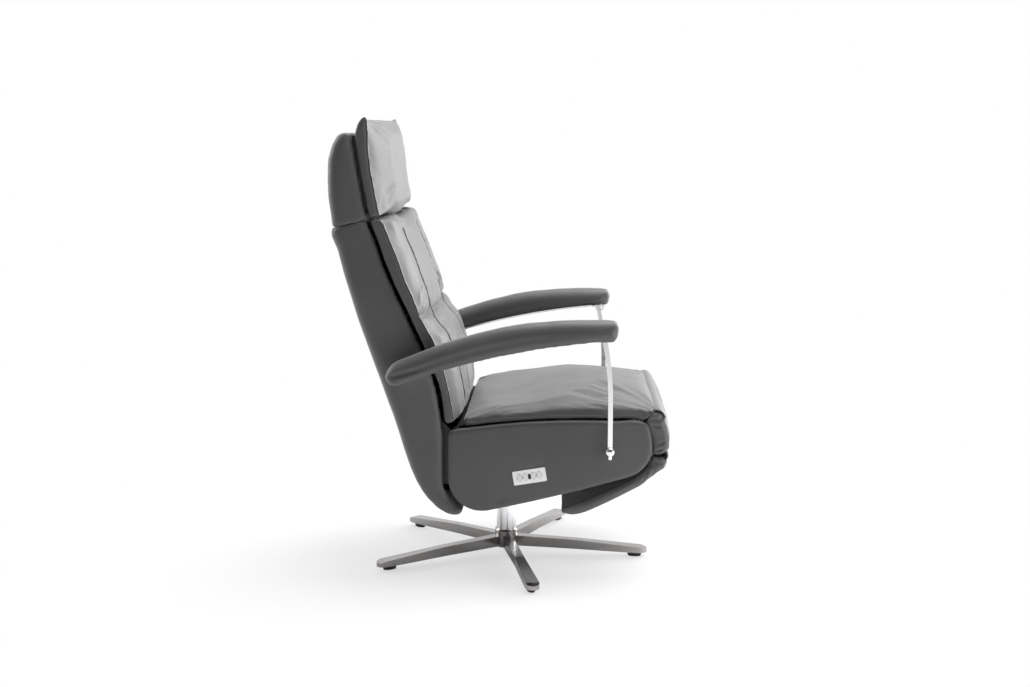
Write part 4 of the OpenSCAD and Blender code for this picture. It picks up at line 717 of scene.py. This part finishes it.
# Armrest pads: foam bars wrapped in leather over a chromed rail, with a blunt rounded front end.
# The rails, struts and bolts are the CAD's solids; a chromed cap covers each bolt, and the strut's end shows below.
ARM_TAPER = 0.010
ARM_CROWN = 0.010
ARM_LIP = 0.0060
ARM_MIDDLE = 0.331
ARM_HALF = 0.030
ARM_PUSHES = (((0.254, 0.602), (0.007, -0.005), 0.016), ((0.254, 0.638), (0.008, 0.001), 0.018))
STRUT_END_RADIUS = 0.0048
STRUT_END_LONG = 0.016
CAP_RADIUS = 0.0104
for side, sign in (("left", 1), ("right", -1)):
    arm = padded_over(merged_copy(f"arm_pad_{side}", f"arm_leather_{side}"), 0.004, 3)
    spots = points_of(arm)
    across = (np.abs(spots[:, 1]) - ARM_MIDDLE) / ARM_HALF
    places = np.linspace(-0.262, 0.262, 27)
    near = [np.abs(spots[:, 0] - x) < 0.012 for x in places]
    foot = np.interp(spots[:, 0], places, [spots[n, 2].min() for n in near])
    crown = np.interp(spots[:, 0], places, [spots[n, 2].max() for n in near])
    share = np.clip((spots[:, 2] - foot) / (crown - foot), 0, 1)
    spots[:, 2] -= ARM_TAPER * share * np.clip((0.02 - spots[:, 0]) / 0.22, 0, 1)
    spots[:, 2] -= ARM_CROWN * share * np.clip(np.abs(across), 0, 1) ** 2.2
    for line, shift, reach in ARM_PUSHES:
        pushed(spots, line, shift, reach)
    lip = np.clip((np.abs(spots[:, 1]) - 0.341) / 0.006, 0, 1) * np.clip(1 - share * 2.2, 0, 1)
    spots[:, 2] -= ARM_LIP * lip
    place_points(arm, spots)
    modified(arm, "SMOOTH", factor=0.5, iterations=8)
    modified(arm, "SUBSURF", levels=1, render_levels=1)
    spots, facing = points_of(arm), normals_of(arm)
    handled(spots, facing, 0.0008, 18, 2.7)
    place_points(arm, spots)
    dressed(arm, graphite, f"arm_{side}", f"arm_pad_{side}")
    low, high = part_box("strut_bolts")
    ball_x, ball_z = (low[0] + high[0]) / 2, (low[2] + high[2]) / 2
    bpy.ops.object.select_all(action="DESELECT")
    bpy.ops.mesh.primitive_cylinder_add(
        vertices=32, radius=STRUT_END_RADIUS, depth=STRUT_END_LONG, end_fill_type="NGON",
        location=(ball_x, sign * 0.3040, ball_z - 0.0110))
    strut_end = bpy.context.object
    strut_end.name = f"strut_end_{side}"
    bpy.ops.object.transform_apply(location=True, rotation=True, scale=True)
    modified(strut_end, "BEVEL", width=0.0012, segments=3)
    dressed(strut_end, chrome, f"strut_{side}")
    bpy.ops.object.select_all(action="DESELECT")
    bpy.ops.mesh.primitive_uv_sphere_add(
        segments=40, ring_count=20, radius=CAP_RADIUS, location=(ball_x, sign * 0.3105, ball_z), scale=(1, 0.6, 1))
    cap = bpy.context.object
    cap.name = f"strut_cap_{side}"
    bpy.ops.object.transform_apply(location=True, rotation=True, scale=True)
    dressed(cap, chrome, "seat")
finish_nodes(chrome, "arm_rail_left", "arm_rail_right", "arm_strut_left", "arm_strut_right", "strut_bolts")


# Leg rest pads: a calf pad round the nose of the seat and a foot pad folded under it, on leather-covered boards.
# The two meet the seat and each other in soft creases, with small folds where the leather is bunched.
BOARD_WRAP = 0.009
WRAP_FROM = 0.262
CORNER_RISE = 0.008
FOLDS = {
    "calf_cushion": (
        ([(0.352, 0.285, 0.405), (0.366, 0.285, 0.402), (0.376, 0.278, 0.407)], 0.0035, 0.0026),
        ([(0.356, 0.285, 0.392), (0.368, 0.284, 0.388)], 0.0032, 0.0018),
        ([(0.362, 0.285, 0.330), (0.374, 0.284, 0.334), (0.386, 0.276, 0.332)], 0.0035, 0.0026),
        ([(0.364, 0.285, 0.342), (0.376, 0.283, 0.350)], 0.0035, 0.0015)),
    "foot_cushion": (
        ([(0.361, 0.285, 0.306), (0.372, 0.284, 0.300), (0.382, 0.274, 0.296)], 0.0035, 0.0026),
        ([(0.356, 0.285, 0.300), (0.356, 0.284, 0.282), (0.352, 0.280, 0.266)], 0.0038, 0.0022),
        ([(0.350, 0.285, 0.294), (0.340, 0.284, 0.274), (0.330, 0.280, 0.260)], 0.0042, 0.0020),
        ([(0.340, 0.285, 0.282), (0.322, 0.284, 0.262)], 0.0042, 0.0016))}
PUSHES = {
    "calf_cushion": (((0.384, 0.408), (0.003, 0.005), 0.016), ((0.391, 0.326), (0.002, 0.001), 0.013)),
    "foot_cushion": (((0.384, 0.304), (0.009, 0.001), 0.017), ((0.374, 0.286), (0.006, -0.002), 0.016),
                     ((0.148, 0.190), (-0.008, 0.002), 0.032))}
for node, body in (("calf_cushion", "calf_rest"), ("foot_cushion", "foot_rest")):
    pad = padded_over(merged_copy(node, f"{node}_leather"), 0.0045, 5)
    spots = points_of(pad)
    for line, shift, reach in PUSHES[node]:
        pushed(spots, line, shift, reach)
    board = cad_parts[node.replace("cushion", "board")]
    tree = BVHTree.FromObject(board, bpy.context.evaluated_depsgraph_get())
    for k in np.nonzero(np.abs(spots[:, 1]) > WRAP_FROM)[0]:
        x, y, z = spots[k]
        near, normal, _, gap = tree.find_nearest(Vector((x, math.copysign(0.25, y), z)))
        wrap = BOARD_WRAP * min(1, (abs(y) - WRAP_FROM) / 0.009) * max(0, 1 - gap / 0.016)
        spots[k] -= np.array((normal.x, 0, normal.z)) * wrap
    if node == "calf_cushion":
        corner = np.clip((np.abs(spots[:, 1]) - 0.235) / 0.045, 0, 1)
        spots[:, 2] += CORNER_RISE * corner * np.clip((spots[:, 2] - 0.385) / 0.025, 0, 1)
        spots[:, 0] -= CORNER_RISE * corner * np.clip((spots[:, 2] - 0.385) / 0.025, 0, 1)
    place_points(pad, spots)
    modified(pad, "SUBSURF", levels=1, render_levels=1)
    spots, facing = points_of(pad), normals_of(pad)
    handled(spots, facing, 0.0010, 18, 6.6)
    for path, width, depth in FOLDS[node]:
        for way in both_sides(path):
            creased(spots, facing, way, width, depth)
    place_points(pad, spots)
    dressed(pad, graphite, body, node)
finish_nodes(graphite, "calf_board", "foot_board")


# Crease strips: soft leather sewn from the seat to the calf pad and from the calf pad to the foot pad.
# They lie in the bottom of each crease and cover the hinges.
STRIP_HALF = 0.281
SEAT_CREASE = ((0.339, 0.4115), (0.350, 0.4222), (0.359, 0.4258), (0.367, 0.4258), (0.374, 0.4222), (0.381, 0.4130),
               (0.384, 0.4040))
CALF_CREASE = ((0.374, 0.336), (0.384, 0.329), (0.3890, 0.322), (0.3890, 0.313), (0.384, 0.306), (0.373, 0.300))


def strip(name, profile, thickness):
    rings = [[(x, STRIP_HALF * (1 - 2 * k / 12), z) for k in range(13)] for x, z in profile]
    return band(name, rings, thickness, closed=False)


seat_strip = strip("seat_crease", SEAT_CREASE, 0.0065)
dressed(seat_strip, graphite, None)
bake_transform(seat_strip)
calf_strip = strip("calf_crease", CALF_CREASE, 0.0080)
dressed(calf_strip, graphite, None)
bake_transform(calf_strip)


# Keypad: a satin white plate with four oval buttons, each in a thin grey rubber ring, and a small dark window.
# The plate, the buttons and the window are the CAD's solids; the rings sit in the slots round the buttons.
plate_white = finish("plate_white", (0.90, 0.90, 0.89), 0.35, 0.0, 0.02, 200, 0.00005)
button_white = finish("button_white", (0.78, 0.78, 0.76), 0.4, 0.0, 0.04, 200, 0.00005)
window_black = finish("window_black", (0.02, 0.02, 0.022), 0.2, 0.0, 0.3, 200)
ring_grey = finish("ring_grey", (0.16, 0.16, 0.155), 0.6, 0.0, 0.2, 600, 0.0001)
KEY_TILT = math.radians(9.3)
RING_WIDE = 0.0061
RING_TALL = 0.0092
RING_Y = -0.2931
RING_POINTS = 36
finish_nodes(plate_white, "keypad_plate")
finish_nodes(button_white, "button_1", "button_2", "button_3", "button_4")
finish_nodes(window_black, "keypad_lens")
for number in (1, 2, 3, 4):
    low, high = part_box(f"button_{number}")
    centre = [(a + b) / 2 for a, b in zip(low, high)]
    curve = bpy.data.curves.new(f"button_ring_{number}", "CURVE")
    curve.dimensions = "3D"
    curve.bevel_depth = 0.0005
    curve.bevel_resolution = 2
    spline = curve.splines.new("POLY")
    spline.use_cyclic_u = True
    spline.points.add(RING_POINTS - 1)
    for k, point in enumerate(spline.points):
        turn = 2 * math.pi * k / RING_POINTS
        wide, tall = RING_WIDE * math.cos(turn), RING_TALL * math.sin(turn)
        point.co = (centre[0] + wide * math.cos(KEY_TILT) - tall * math.sin(KEY_TILT), RING_Y,
                    centre[2] + wide * math.sin(KEY_TILT) + tall * math.cos(KEY_TILT), 1)
    ring = bpy.data.objects.new(f"button_ring_{number}", curve)
    bpy.context.collection.objects.link(ring)
    only(ring)
    bpy.ops.object.convert(target="MESH")
    dressed(bpy.context.object, ring_grey, "seat")


# Sizes: the box round every shown piece but the floor.
low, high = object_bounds()
